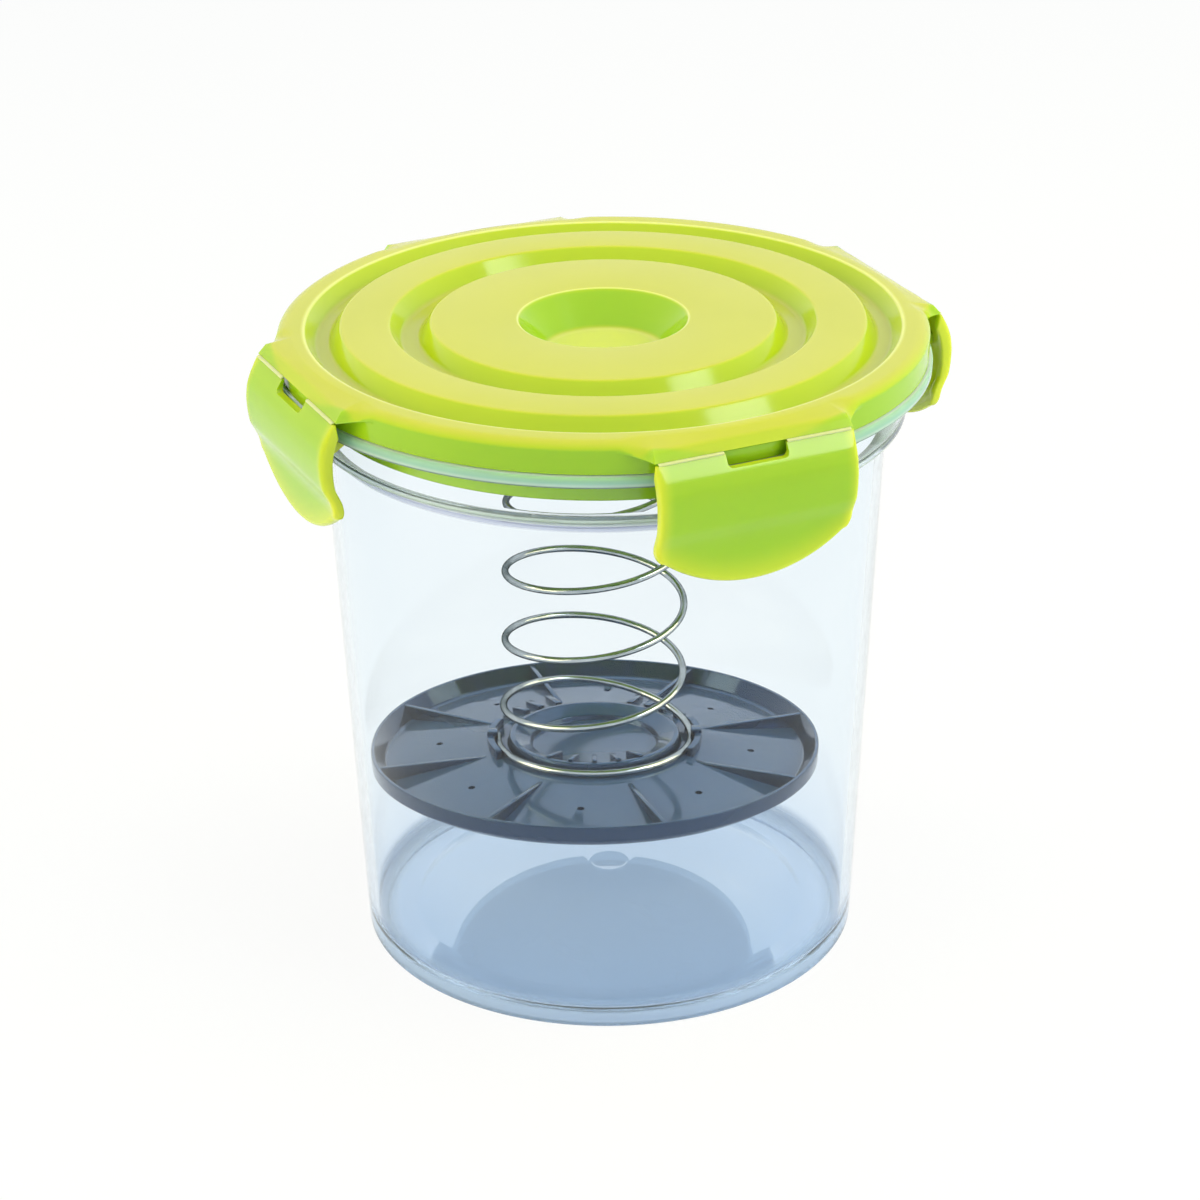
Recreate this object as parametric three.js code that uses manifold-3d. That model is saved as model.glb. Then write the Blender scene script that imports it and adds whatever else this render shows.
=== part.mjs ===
// Pickling jar: a clear container, a clip-on lid with four latches, and a press plate hung on a spring.
// Lengths are millimetres, +Z is up, and the origin is the centre of the base.
import * as THREE from "three";
import { mergeVertices } from "three/addons/utils/BufferGeometryUtils.js";
import Module from "manifold-3d";

const wasm = await Module();
wasm.setup();

// Facets
const roundSteps = 64;
const springStepsPerTurn = 8;
const wireSides = 5;
const holeSides = 8;

// Shared clearances
const seatGap = 0.3; // between two pieces that rest on each other
const overrun = 1; // how far a cutter passes its face, or a joined root goes into its carrier

// Container: a tapered cup with a domed floor, a shoulder, a straight neck and a rim flange
const rimHeight = 153.4;
const flangeRadius = 79.5;
const flangeReach = 6.1; // the flange's edge to the neck
const flangeThickness = 3;
const flangeEdge = 0.8;
const neckHeight = 13.85; // the neck's foot to the rim
const shoulderStep = 4.7; // the neck to the wall below it
const shoulderRise = 2.6;
const wallDraft = 6.6; // how much narrower the wall is at its foot
const containerWall = 2;
const footCorner = 1.6;
const footRingWidth = 4.5;
const footRingHeight = 1.7;
const floorThickness = 2.5;
const floorCorner = 2.5;
const domeRise = 8.5;
const domeInset = 7.6; // the foot ring to the dome's edge

// Lid: one shell with a border ring, three raised panels, a finger bowl and a plug that enters the neck
const lidWall = 2;
const lidRingInset = 0.75; // the flange's edge to the lid's outside
const lidRingWidth = 6.75;
const lidRingHeight = 7.6;
const lidRingRound = 3;
const lidEdge = 0.7;
const skirtDraft = 0.15;
const skirtClearance = 0.3; // between the skirt's lower edge and the flange
const panelHeight = 8.2; // top of the panels above the skirt's lower edge
const grooveDepth = 4.5;
const grooveDraft = 2.6; // how far a groove's wall leans over its depth
const outerGrooveWidth = 8.6;
const outerPanelWidth = 11.9;
const valleyWidth = 9.8;
const bowlRadius = 20.6;
const bowlDepth = 8.5;
const bowlDraft = 6.1;
const bowlCorner = 2;
const drainWidth = 2.2; // open channel between the skirt and the gasket seat

// Plug and gasket
const plugClearance = 1.5; // to the neck's inner wall
const plugWall = 1.9;
const plugDepth = 10.2; // below the skirt's lower edge
const plugDraft = 0.3;
const gasketWidth = 3.6;
const gasketLip = 0.4;

// Latches: each hangs from an ear on the lid and hooks under the flange
const latchAzimuths = { front: -90, right: 0, back: 90, left: 180 };
const earReach = 1; // the lid's outside to the hinge line
const hingeHeight = 3.6; // hinge line above the skirt's lower edge
const hingeGap = 0.3;
const latchWidth = 50;
const latchLength = 32.2;
const latchSideLength = 22.5;
const latchBulge = 3.7;
const latchWall = 2;
const latchRoot = 0.65; // thickness at the hinge line
const latchBorderWidth = 1.8;
const latchBorderTop = 3.7; // depth of the border near the hinge
const latchBorderTip = 2;
const latchCorner = 2.3;
const slotWidth = 15.5;
const slotHeight = 3.1;
const slotCorner = 0.9;
const hookWidth = 37;
const hookHeight = 2.6;
const hookReach = 2.4; // how far the hook goes under the flange
const hookDraft = 0.9;
const earHeight = 2.55;
const earChamfer = 1.95;
const earBlend = 6;
const earBlendDrop = 3.6;

// Spring: round wire, a small top coil on the lid and a wider bottom coil on the plate
const wireDiameter = 1.8;
const springOutset = 1.8; // from the finger bowl's edge to the spring's middle line
const bottomCoilFlare = 2.1;
const bottomCoilTurns = 0.5;
const activeTurns = 5.75;
const topCoilTurns = 0.75;
const coilBlendTurns = 0.75;
const tiltBlendTurns = 0.35;
const springPitch = 18.7;
const springSeatWidth = 4.9; // pad under the lid that the top coil bears on
const springSeatDepth = 2.6;
const lidHookSteps = [30, 135, 240]; // degrees along the top coil from where it starts
const lidHookWidth = 5;
const lidHookWall = 1.6;
const lidHookLip = 0.8;

// Press plate: a dish with a domed floor, a ring hub with a well, fins, stop ribs, drain holes and coil clips
const plateWallGap = 1.7; // to the container's wall, where the plate hangs nearest to it
const plateRimHeight = 5.4;
const plateRimTop = 0.9;
const plateRimLean = 3; // how far the rim's inner face leans over its height
const plateSkirtHeight = 3.9;
const plateBevel = 2.2;
const plateFloor = 1.4;
const plateRise = 3.3; // the floor's rise from the rim to the coil's seat
const seatMargin = 1.5; // the flat seat's edge from the coil's middle line
const hubInset = 3; // from the bottom coil's middle line to the hub's edge
const hubRise = 2.5; // the hub's ridge above the coil's seat
const hubDraft = 0.5;
const hubRidge = 1.2;
const hubSlope = 4.1; // how far the hub's top slopes in from its ridge
const hubFall = 1.8;
const wellDepth = 1.4;
const wellDraft = 0.4;
const stopRibAngles = [21, 32, 42, 54]; // from the middle of the back, to each side
const stopRibReaches = [9.5, 8, 6.5, 4.2]; // past the bottom coil's middle line
const stopRibWidth = 1.7;
const stopRibHeight = 1.2;
const finInset = 4; // from the bottom coil's middle line to a fin's inner end
const finTurn = -5; // degrees that the fins and holes are turned against the hub's ribs
const finWidth = 1.3;
const finDrop = 0.3;
const finCount = 8;
const hubRibLength = 6;
const hubRibWidth = 1.3;
const hubRibHeight = 0.8;
const hubRibAngles = [-124, -107, -90, -73, -56];
const holeInset = 17.3; // from the plate's edge
const holeDiameter = 1.8;
const clipWidth = 3.2;
const clipWall = 1.5;
const clipLip = 1;
const clipArc = 50; // degrees that the wall beside a clip goes round the coil

// How the plate hangs on its spring: a little off the axis and a little tilted
const hangAzimuth = -25;
const hangTilt = 5;
const hangOffset = 3.4;

// Heights and radii that follow
const lidBase = rimHeight + skirtClearance;
const panelUnderside = panelHeight - lidWall;
const grooveFloor = panelHeight - grooveDepth;
const grooveUnderside = grooveFloor - lidWall;
const neckRadius = flangeRadius - flangeReach;
const wallTopRadius = neckRadius - shoulderStep;
const footRadius = wallTopRadius - wallDraft;
const domeEdgeRadius = footRadius - footRingWidth - domeInset;
const neckFoot = rimHeight - neckHeight;
const shoulderHeight = neckFoot - shoulderRise;
const containerFloor = footRingHeight + floorThickness;
const containerTaper = wallDraft / shoulderHeight;
const lidRingRadius = flangeRadius - lidRingInset;
const ringInnerRadius = lidRingRadius - lidRingWidth;
const outerPanelRadius = ringInnerRadius - outerGrooveWidth;
const valleyRadius = outerPanelRadius - outerPanelWidth;
const innerPanelRadius = valleyRadius - valleyWidth;
const plugRadius = neckRadius - containerWall - plugClearance;
const hingeDistance = lidRingRadius + earReach;
const wireRadius = wireDiameter / 2;
const springRadius = bowlRadius + springOutset;
const bottomCoilRadius = springRadius + bottomCoilFlare;
const springSeat = panelUnderside - springSeatDepth;
const springTop = lidBase + springSeat - seatGap - wireRadius;
const springLength = activeTurns * springPitch;
const springBottom = springTop - springLength;
const coilSeat = plateFloor + plateRise;
const plateBase = springBottom - wireRadius - seatGap - coilSeat;
const springTotalTurns = bottomCoilTurns + activeTurns + topCoilTurns;
const topCoilStart = hangAzimuth + 180 + (bottomCoilTurns + activeTurns) * 360;
const plateRadius = footRadius + containerTaper * plateBase - containerWall - hangOffset - plateWallGap;
const plateRimInner = plateRadius - plateRimTop;
const floorEdge = plateRimInner - plateRimLean;
const seatEdge = bottomCoilRadius + seatMargin;
const hubRadius = bottomCoilRadius - hubInset;
const hubHeight = coilSeat + hubRise;
const ridgeInner = hubRadius - hubRidge;
const stepRadius = ridgeInner - hubSlope;
const stepHeight = hubHeight - hubFall;
const wellRadius = stepRadius - wellDraft;
const wellFloor = stepHeight - wellDepth;
const finStartRadius = bottomCoilRadius + finInset;
const holeCircle = plateRadius - holeInset;

// The latch's outer face as [share of its length, share of its bulge], from the hinge to the tip
const latchFaceShares = [
  [0, 0.02],
  [0.05, 0.3],
  [0.12, 0.66],
  [0.2, 0.9],
  [0.3, 1],
  [0.4, 0.96],
  [0.5, 0.83],
  [0.62, 0.3],
  [0.7, 0.15],
  [1, 0.15],
];

const radians = THREE.MathUtils.degToRad;

// A closed mesh as a solid that can be joined and cut.
function solidOf(geometry) {
  const bare = geometry.clone();
  bare.deleteAttribute("normal");
  bare.deleteAttribute("uv");
  const merged = mergeVertices(bare);
  return new wasm.Manifold(
    new wasm.Mesh({
      numProp: 3,
      vertProperties: merged.attributes.position.array,
      triVerts: new Uint32Array(merged.index.array),
    }),
  );
}

function geometryOf(solid) {
  const mesh = solid.getMesh();
  const geometry = new THREE.BufferGeometry();
  geometry.setAttribute("position", new THREE.BufferAttribute(mesh.vertProperties, 3));
  geometry.setIndex(new THREE.BufferAttribute(mesh.triVerts, 1));
  geometry.computeVertexNormals();
  return geometry;
}

function join(solids) {
  return solids.reduce((whole, piece) => whole.add(piece));
}

function cut(solid, cutters) {
  return cutters.reduce((rest, cutter) => rest.subtract(cutter), solid);
}

// Corners are [radius, height, fillet, steps]; a corner with a fillet becomes an arc.
function rounded(corners) {
  const count = corners.length;
  return corners.flatMap(([x, y, fillet = 0, steps = 1], i) => {
    const corner = new THREE.Vector2(x, y);
    if (!fillet) return [corner];
    const before = new THREE.Vector2(...corners[(i + count - 1) % count]).sub(corner).normalize();
    const after = new THREE.Vector2(...corners[(i + 1) % count]).sub(corner).normalize();
    const half = Math.acos(before.dot(after)) / 2;
    const start = before.clone().multiplyScalar(fillet / Math.tan(half)).add(corner);
    const middle = before.clone().add(after).normalize();
    const centre = middle.multiplyScalar(fillet / Math.sin(half)).add(corner);
    const turn = Math.sign(after.cross(before)) * (Math.PI - 2 * half);
    return Array.from({ length: steps + 1 }, (_, k) =>
      start.clone().rotateAround(centre, (turn * k) / steps),
    );
  });
}

// A body of revolution about Z from corners that run outward, up and back inward.
function revolve(corners, closed = false) {
  const outline = rounded(corners);
  if (closed) outline.push(outline[0].clone());
  const geometry = new THREE.LatheGeometry(outline, roundSteps);
  geometry.rotateX(Math.PI / 2);
  return solidOf(geometry);
}

// A prism from a shape in the XY plane, standing on the height bottom.
function standing(shape, bottom, height, curveSteps = 6) {
  const settings = { depth: height, bevelEnabled: false, curveSegments: curveSteps };
  const geometry = new THREE.ExtrudeGeometry(shape, settings);
  geometry.translate(0, 0, bottom);
  return solidOf(geometry);
}

// A prism whose shape lies in the XZ plane, centred on Y.
function sideways(points, width) {
  const shape = new THREE.Shape(points);
  const geometry = new THREE.ExtrudeGeometry(shape, { depth: width, bevelEnabled: false });
  geometry.rotateX(Math.PI / 2);
  geometry.translate(0, width / 2, 0);
  return solidOf(geometry);
}

// A prism whose shape lies in the YZ plane, centred on X.
function facing(shape, depth, curveSteps = 8) {
  const settings = { depth, bevelEnabled: false, curveSegments: curveSteps };
  const geometry = new THREE.ExtrudeGeometry(shape, settings);
  geometry.translate(0, 0, -depth / 2);
  geometry.rotateX(Math.PI / 2);
  geometry.rotateZ(Math.PI / 2);
  return solidOf(geometry);
}

function turned(solid, degrees) {
  const geometry = geometryOf(solid);
  geometry.rotateZ(radians(degrees));
  return solidOf(geometry);
}

function movedOut(solid, distance) {
  const geometry = geometryOf(solid);
  geometry.translate(distance, 0, 0);
  return solidOf(geometry);
}

// Points along X and Z as vectors of a side profile
function profile(pairs) {
  return pairs.map(([x, z]) => new THREE.Vector2(x, z));
}

function makeContainer() {
  const flangeBottom = rimHeight - flangeThickness;
  const footEdge = footRadius - footRingWidth;
  const innerTop = wallTopRadius - containerWall;
  const innerFoot = footRadius + containerTaper * containerFloor - containerWall;
  const recessTop = footRingHeight;
  return revolve([
    [0, recessTop + domeRise],
    [domeEdgeRadius / 2, recessTop + domeRise * 0.75],
    [domeEdgeRadius, recessTop, floorThickness],
    [footEdge, recessTop],
    [footEdge, 0],
    [footRadius, 0, footCorner, 2],
    [wallTopRadius, shoulderHeight],
    [neckRadius, neckFoot],
    [neckRadius, flangeBottom],
    [flangeRadius, flangeBottom, flangeEdge],
    [flangeRadius, rimHeight, flangeEdge],
    [neckRadius - containerWall, rimHeight, flangeEdge],
    [neckRadius - containerWall, neckFoot + containerWall / 2],
    [innerTop, shoulderHeight + containerWall / 2],
    [innerFoot, containerFloor, floorCorner, 2],
    [domeEdgeRadius, containerFloor, floorThickness],
    [domeEdgeRadius / 2, containerFloor + domeRise * 0.75],
    [0, containerFloor + domeRise],
  ]);
}

// The lid's shell without its ears and hooks, from the bowl's underside out to the skirt and back.
function lidRevolve() {
  const skirtInner = lidRingRadius - skirtDraft - lidWall;
  const seatOuter = skirtInner - drainWidth;
  const plugInner = plugRadius - plugWall;
  const bowlFloor = panelHeight - bowlDepth;
  const bowlFloorRadius = bowlRadius - bowlDraft;
  const seatRise = (springSeat - bowlFloor + lidWall) / bowlDepth;
  const seatInner = bowlFloorRadius + lidWall / 2 + bowlDraft * seatRise;
  return revolve([
    [0, bowlFloor - lidWall],
    [bowlFloorRadius + lidWall / 2, bowlFloor - lidWall, bowlCorner],
    [seatInner, springSeat],
    [seatInner + springSeatWidth, springSeat],
    [seatInner + springSeatWidth, panelUnderside],
    [innerPanelRadius - lidWall, panelUnderside],
    [innerPanelRadius + grooveDraft - lidWall / 2, grooveUnderside],
    [valleyRadius - grooveDraft + lidWall / 2, grooveUnderside],
    [valleyRadius + lidWall, panelUnderside],
    [outerPanelRadius - lidWall, panelUnderside],
    [outerPanelRadius + grooveDraft - lidWall / 2, grooveUnderside],
    [plugInner, grooveUnderside],
    [plugInner - plugDraft, -plugDepth],
    [plugRadius - plugDraft, -plugDepth, lidEdge],
    [plugRadius, grooveUnderside],
    [seatOuter, grooveUnderside],
    [seatOuter, lidRingHeight - lidWall],
    [skirtInner, lidRingHeight - lidWall],
    [skirtInner, 0],
    [lidRingRadius - skirtDraft, 0],
    [lidRingRadius, lidRingHeight, lidRingRound, 3],
    [ringInnerRadius, lidRingHeight, lidEdge],
    [ringInnerRadius - grooveDraft, grooveFloor],
    [outerPanelRadius + grooveDraft, grooveFloor],
    [outerPanelRadius, panelHeight, lidEdge],
    [valleyRadius, panelHeight, lidEdge],
    [valleyRadius - grooveDraft, grooveFloor],
    [innerPanelRadius + grooveDraft, grooveFloor],
    [innerPanelRadius, panelHeight, lidEdge],
    [bowlRadius, panelHeight, lidEdge],
    [bowlFloorRadius, bowlFloor, bowlCorner],
    [0, bowlFloor],
  ]);
}

// One ear: the platform between the border ring and a hinge line, blended into the ring at both ends.
function makeEar() {
  const edge = hingeDistance - hingeGap;
  const half = latchWidth / 2;
  const end = half + earBlend;
  const ringEdge = Math.sqrt(lidRingRadius ** 2 - end ** 2);
  const rootRadius = lidRingRadius - overrun;
  const rootAngle = Math.asin(end / rootRadius);
  const rootEdge = rootRadius * Math.cos(rootAngle);
  const plan = new THREE.Shape();
  plan.moveTo(edge, -half);
  plan.lineTo(edge, half);
  plan.quadraticCurveTo(edge - earBlendDrop, half, ringEdge, end);
  plan.lineTo(rootEdge, end);
  plan.absarc(0, 0, rootRadius, rootAngle, -rootAngle, true);
  plan.lineTo(ringEdge, -end);
  plan.quadraticCurveTo(edge - earBlendDrop, -half, edge, -half);
  const bottom = hingeHeight + hingeGap / 2;
  const top = bottom + earHeight;
  const side = profile([
    [0, bottom],
    [edge, bottom],
    [edge - earChamfer, top],
    [0, top],
  ]);
  return standing(plan, bottom, earHeight).intersect(sideways(side, end * 2 + overrun));
}

// One of the hooks under the lid that hold the spring's top coil.
function makeLidHook() {
  const coilEdge = springRadius + wireRadius + seatGap;
  const coilBottom = springTop - lidBase - wireRadius - seatGap;
  const lipInner = springRadius;
  const outer = coilEdge + lidHookWall;
  const side = profile([
    [lipInner, coilBottom - lidHookLip / 2],
    [coilEdge, coilBottom - lidHookLip * 2],
    [outer, coilBottom - lidHookLip * 2],
    [outer, panelUnderside + overrun],
    [coilEdge, panelUnderside + overrun],
    [coilEdge, coilBottom],
    [lipInner, coilBottom],
  ]);
  return sideways(side, lidHookWidth);
}

function makeLidShell() {
  const ears = Object.values(latchAzimuths).map((azimuth) => turned(makeEar(), azimuth));
  const hooks = lidHookSteps.map((step) => turned(makeLidHook(), topCoilStart + step));
  return join([lidRevolve(), ...ears, ...hooks]);
}

// A flat sealing ring with a small lip on each edge, between the lid's seat and the rim.
function makeGasket() {
  const inner = plugRadius + seatGap;
  const outer = inner + gasketWidth;
  const top = grooveUnderside - seatGap;
  const bottom = seatGap - skirtClearance;
  return revolve(
    [
      [inner, bottom],
      [outer, bottom],
      [outer, top],
      [outer - gasketLip, top],
      [outer - gasketLip * 2, top - gasketLip],
      [inner + gasketLip * 2, top - gasketLip],
      [inner + gasketLip, top],
      [inner, top],
    ],
    true,
  );
}

// The latch's outer face at a depth below the hinge line.
function latchFace(depth) {
  const share = depth / latchLength;
  const next = Math.max(1, latchFaceShares.findIndex(([along]) => along >= share));
  const [alongA, outA] = latchFaceShares[next - 1];
  const [alongB, outB] = latchFaceShares[next];
  const mix = (share - alongA) / (alongB - alongA);
  return latchBulge * THREE.MathUtils.lerp(outA, outB, mix);
}

// Thickness behind the outer face: thin at the hinge, then the full value given for top and tip.
function latchThickness(depth, top, tip) {
  const full = THREE.MathUtils.lerp(top, tip, depth / latchLength);
  const grown = Math.min(1, depth / latchBorderTop);
  return THREE.MathUtils.lerp(latchRoot, full, grown);
}

function borderThickness(depth) {
  return latchThickness(depth, latchBorderTop, latchBorderTip);
}

// Side profile between two depths behind the outer face, given as functions of the way down.
function latchProfile(near, far) {
  const start = hingeGap / 2;
  const downs = latchFaceShares.map(([along]) => Math.max(start, along * latchLength));
  const front = downs.map((down) => [latchFace(down) - near(down), -down]);
  const back = downs.map((down) => [latchFace(down) - far(down), -down]);
  return profile([...back, ...front.reverse()]);
}

// The latch seen from outside: straight sides, round lower corners and an arched lower edge.
function latchOutline(inset) {
  const half = latchWidth / 2 - inset;
  const side = -latchSideLength;
  const tip = -latchLength + inset;
  const sag = side - tip;
  const arcRadius = half ** 2 / (2 * sag) + sag / 2;
  const corner = Math.max(latchCorner - inset, inset / 2);
  const slope = Math.asin((half - corner) / arcRadius);
  const shape = new THREE.Shape();
  shape.moveTo(-half, overrun);
  shape.lineTo(-half, side + corner);
  const cornerSag = arcRadius * (1 - Math.cos(slope));
  shape.quadraticCurveTo(-half, tip + sag, -half + corner, tip + cornerSag);
  shape.absarc(0, tip + arcRadius, arcRadius, -Math.PI / 2 - slope, -Math.PI / 2 + slope, false);
  shape.quadraticCurveTo(half, tip + sag, half, side + corner);
  shape.lineTo(half, overrun);
  return shape;
}

// Hook under the flange, with an inner edge that follows the flange's round.
function makeHook() {
  const inner = flangeRadius - hookReach;
  const top = rimHeight - flangeThickness - seatGap - lidBase - hingeHeight;
  const half = hookWidth / 2;
  const bite = Math.asin(half / inner);
  const root = hingeDistance + latchFace(-top + hookHeight) - latchWall / 2;
  const shape = new THREE.Shape();
  shape.moveTo(root, -half);
  shape.lineTo(root, half);
  shape.lineTo(inner * Math.cos(bite), half);
  shape.absarc(0, 0, inner, bite, -bite, true);
  const block = movedOut(standing(shape, top - hookHeight, hookHeight, 8), -hingeDistance);
  const nose = inner * Math.cos(bite) - hingeDistance;
  const ramp = profile([
    [nose - overrun, top - hookHeight - overrun],
    [nose + hookReach + hookDraft, top - hookHeight - overrun],
    [nose + hookReach + hookDraft, top - hookHeight],
    [nose - overrun, top - hookDraft],
  ]);
  return cut(block, [sideways(ramp, hookWidth + overrun)]);
}

// The latch in its own frame: hinge line on Y, outward along X, hanging down.
function makeLatch() {
  const width = latchWidth + overrun;
  const reach = latchLength;
  const outer = sideways(latchProfile(() => 0, borderThickness), width);
  const shell = outer.intersect(facing(latchOutline(0), reach));
  const behind = latchProfile(
    (down) => latchThickness(down, latchWall, latchWall),
    (down) => borderThickness(down) + overrun,
  );
  const pocket = sideways(behind, width).intersect(facing(latchOutline(latchBorderWidth), reach));
  const half = slotWidth / 2;
  const slot = new THREE.Shape();
  slot.moveTo(-half, overrun);
  slot.lineTo(-half, -slotHeight + slotCorner);
  slot.quadraticCurveTo(-half, -slotHeight, -half + slotCorner, -slotHeight);
  slot.lineTo(half - slotCorner, -slotHeight);
  slot.quadraticCurveTo(half, -slotHeight, half, -slotHeight + slotCorner);
  slot.lineTo(half, overrun);
  return cut(join([cut(shell, [pocket]), makeHook()]), [facing(slot, reach, 2)]);
}

// A point of the wire's centre line, counted in turns from the bottom coil's free end.
function springPoint(turn) {
  const climbed = THREE.MathUtils.clamp((turn - bottomCoilTurns) / activeTurns, 0, 1);
  const slim = THREE.MathUtils.smoothstep(turn, bottomCoilTurns, bottomCoilTurns + coilBlendTurns);
  const level = THREE.MathUtils.smoothstep(turn, bottomCoilTurns, bottomCoilTurns + tiltBlendTurns);
  const angle = Math.PI + turn * 2 * Math.PI;
  const radius = THREE.MathUtils.lerp(bottomCoilRadius, springRadius, slim);
  const x = radius * Math.cos(angle) - hangOffset * (1 - climbed ** 2);
  const y = radius * Math.sin(angle);
  const lean = y * Math.tan(radians(hangTilt)) * (1 - level);
  const z = springBottom + climbed * springLength - lean;
  return new THREE.Vector3(x, y, z);
}

// The turns of the wire, then the same with a straight run of one wire diameter at each end
function springTurns() {
  const steps = Math.round(springTotalTurns * springStepsPerTurn);
  return Array.from({ length: steps + 1 }, (_, k) => springPoint(k / springStepsPerTurn));
}

function springPath() {
  const degree = 1 / 360;
  const run = (inner, end) => end.clone().sub(inner).setLength(wireDiameter).add(end);
  const turns = springTurns();
  const first = run(springPoint(degree), turns[0]);
  const last = run(springPoint(springTotalTurns - degree), turns.at(-1));
  return [first, ...turns, last];
}

// A closed tube of round wire along a path, as one unbroken skin with flat ends.
function makeWire(path) {
  const positions = [];
  const indices = [];
  path.forEach((point, i) => {
    const tangent = path[Math.min(i + 1, path.length - 1)].clone().sub(path[Math.max(i - 1, 0)]);
    const side = new THREE.Vector3(tangent.y, -tangent.x, 0).normalize();
    const up = side.clone().cross(tangent).normalize();
    for (let k = 0; k < wireSides; k++) {
      const angle = (2 * Math.PI * k) / wireSides;
      const corner = point.clone();
      corner.addScaledVector(side, wireRadius * Math.cos(angle));
      corner.addScaledVector(up, -wireRadius * Math.sin(angle));
      positions.push(corner.x, corner.y, corner.z);
    }
  });
  const last = (path.length - 1) * wireSides;
  for (let ring = 0; ring < last; ring += wireSides) {
    for (let k = 0; k < wireSides; k++) {
      const a = ring + k;
      const b = ring + ((k + 1) % wireSides);
      indices.push(a, b, a + wireSides, b, b + wireSides, a + wireSides);
    }
  }
  for (let k = 1; k < wireSides - 1; k++) {
    indices.push(0, k + 1, k);
    indices.push(last, last + k, last + k + 1);
  }
  const geometry = new THREE.BufferGeometry();
  geometry.setAttribute("position", new THREE.Float32BufferAttribute(positions, 3));
  geometry.setIndex(indices);
  geometry.computeVertexNormals();
  return geometry;
}

// The least clear distance between two turns of the wire.
function leastGap(path) {
  const apart = springStepsPerTurn / 2;
  let least = Infinity;
  path.forEach((point, i) => {
    for (const other of path.slice(i + apart)) {
      least = Math.min(least, point.distanceTo(other) - wireDiameter);
    }
  });
  return least;
}

// The floor's height at a radius outside the coil's seat.
function floorAt(radius) {
  const share = (radius - seatEdge) / (floorEdge - seatEdge);
  return coilSeat - plateRise * share;
}

// The dish of the press plate, with one wall thickness under its floor and hub.
function plateDish() {
  return revolve([
    [0, wellFloor - plateFloor],
    [wellRadius + plateFloor / 2, wellFloor - plateFloor],
    [stepRadius + plateFloor / 2, stepHeight - plateFloor],
    [ridgeInner - plateFloor / 2, hubHeight - plateFloor * 1.5],
    [hubRadius - plateFloor, coilSeat - plateFloor],
    [seatEdge, coilSeat - plateFloor],
    [floorEdge, 0],
    [plateRadius - plateBevel, 0],
    [plateRadius - plateRimTop / 4, plateRimHeight - plateSkirtHeight],
    [plateRadius, plateRimHeight],
    [plateRimInner, plateRimHeight],
    [floorEdge, plateFloor],
    [seatEdge, coilSeat],
    [hubRadius + hubDraft, coilSeat],
    [hubRadius, hubHeight, hubRidge / 3],
    [ridgeInner, hubHeight],
    [stepRadius, stepHeight],
    [wellRadius, wellFloor],
    [0, wellFloor],
  ]);
}

// A radial rib with a round end, between two radii, that keeps to the band between two lines.
function radialRib(from, to, width, lower, upper) {
  const half = width / 2;
  const shape = new THREE.Shape();
  shape.moveTo(from, half);
  shape.lineTo(from, -half);
  shape.lineTo(to - half, -half);
  shape.absarc(to - half, 0, half, -Math.PI / 2, Math.PI / 2, false);
  const band = sideways(profile([...lower, ...upper.toReversed()]), width + overrun);
  return standing(shape, 0, hubHeight + hubRibHeight + overrun, 4).intersect(band);
}

// The ribs outside the coil at the back, longest beside the middle.
function stopRibs() {
  const from = bottomCoilRadius + wireRadius + seatGap;
  return stopRibAngles.flatMap((angle, i) => {
    const to = bottomCoilRadius + stopRibReaches[i];
    const root = plateFloor / 2;
    const lower = [[from - overrun, coilSeat - root], [seatEdge, coilSeat - root], [to, floorAt(to) - root]];
    const upper = [[from - overrun, coilSeat + stopRibHeight], [to, floorAt(to) + stopRibHeight]];
    const rib = radialRib(from, to, stopRibWidth, lower, upper);
    return [turned(rib, 90 - angle), turned(rib, 90 + angle)];
  });
}

// The ribs on the hub's front, from its edge in over the well.
function hubRibs() {
  const to = hubRadius - hubRidge / 2;
  const from = to - hubRibLength;
  const root = plateFloor / 2;
  const lower = [
    [from, wellFloor - root],
    [wellRadius, wellFloor - root],
    [stepRadius, stepHeight - root],
    [ridgeInner, hubHeight - root],
    [to, hubHeight - root],
  ];
  const upper = [[from, hubHeight], [to, hubHeight + hubRibHeight]];
  const rib = radialRib(from, to, hubRibWidth, lower, upper);
  return hubRibAngles.map((angle) => turned(rib, angle));
}

// A fin that starts level with the floor and ends just under the rim.
function plateFin() {
  const root = plateFloor / 2;
  const side = profile([
    [finStartRadius, floorAt(finStartRadius)],
    [finStartRadius, floorAt(finStartRadius) - root],
    [floorEdge, plateFloor - root],
    [plateRimInner, plateRimHeight - finDrop],
  ]);
  return sideways(side, finWidth);
}

// A post with a lip that holds the bottom coil down, and a low wall that follows the coil.
function coilClip() {
  const inner = bottomCoilRadius + wireRadius + seatGap;
  const outer = inner + clipWall;
  const coilTop = coilSeat + seatGap * 2 + wireDiameter;
  const root = coilSeat - plateFloor / 2;
  const side = profile([
    [inner, root],
    [outer, root],
    [outer, coilTop + clipLip],
    [bottomCoilRadius, coilTop + clipLip],
    [bottomCoilRadius, coilTop],
    [inner, coilTop],
  ]);
  const half = radians(clipArc / 2);
  const arc = new THREE.Shape();
  arc.absarc(0, 0, outer, -half, half, false);
  arc.absarc(0, 0, inner, half, -half, true);
  return standing(arc, root, coilTop - root, 10).add(sideways(side, clipWidth));
}

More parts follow.
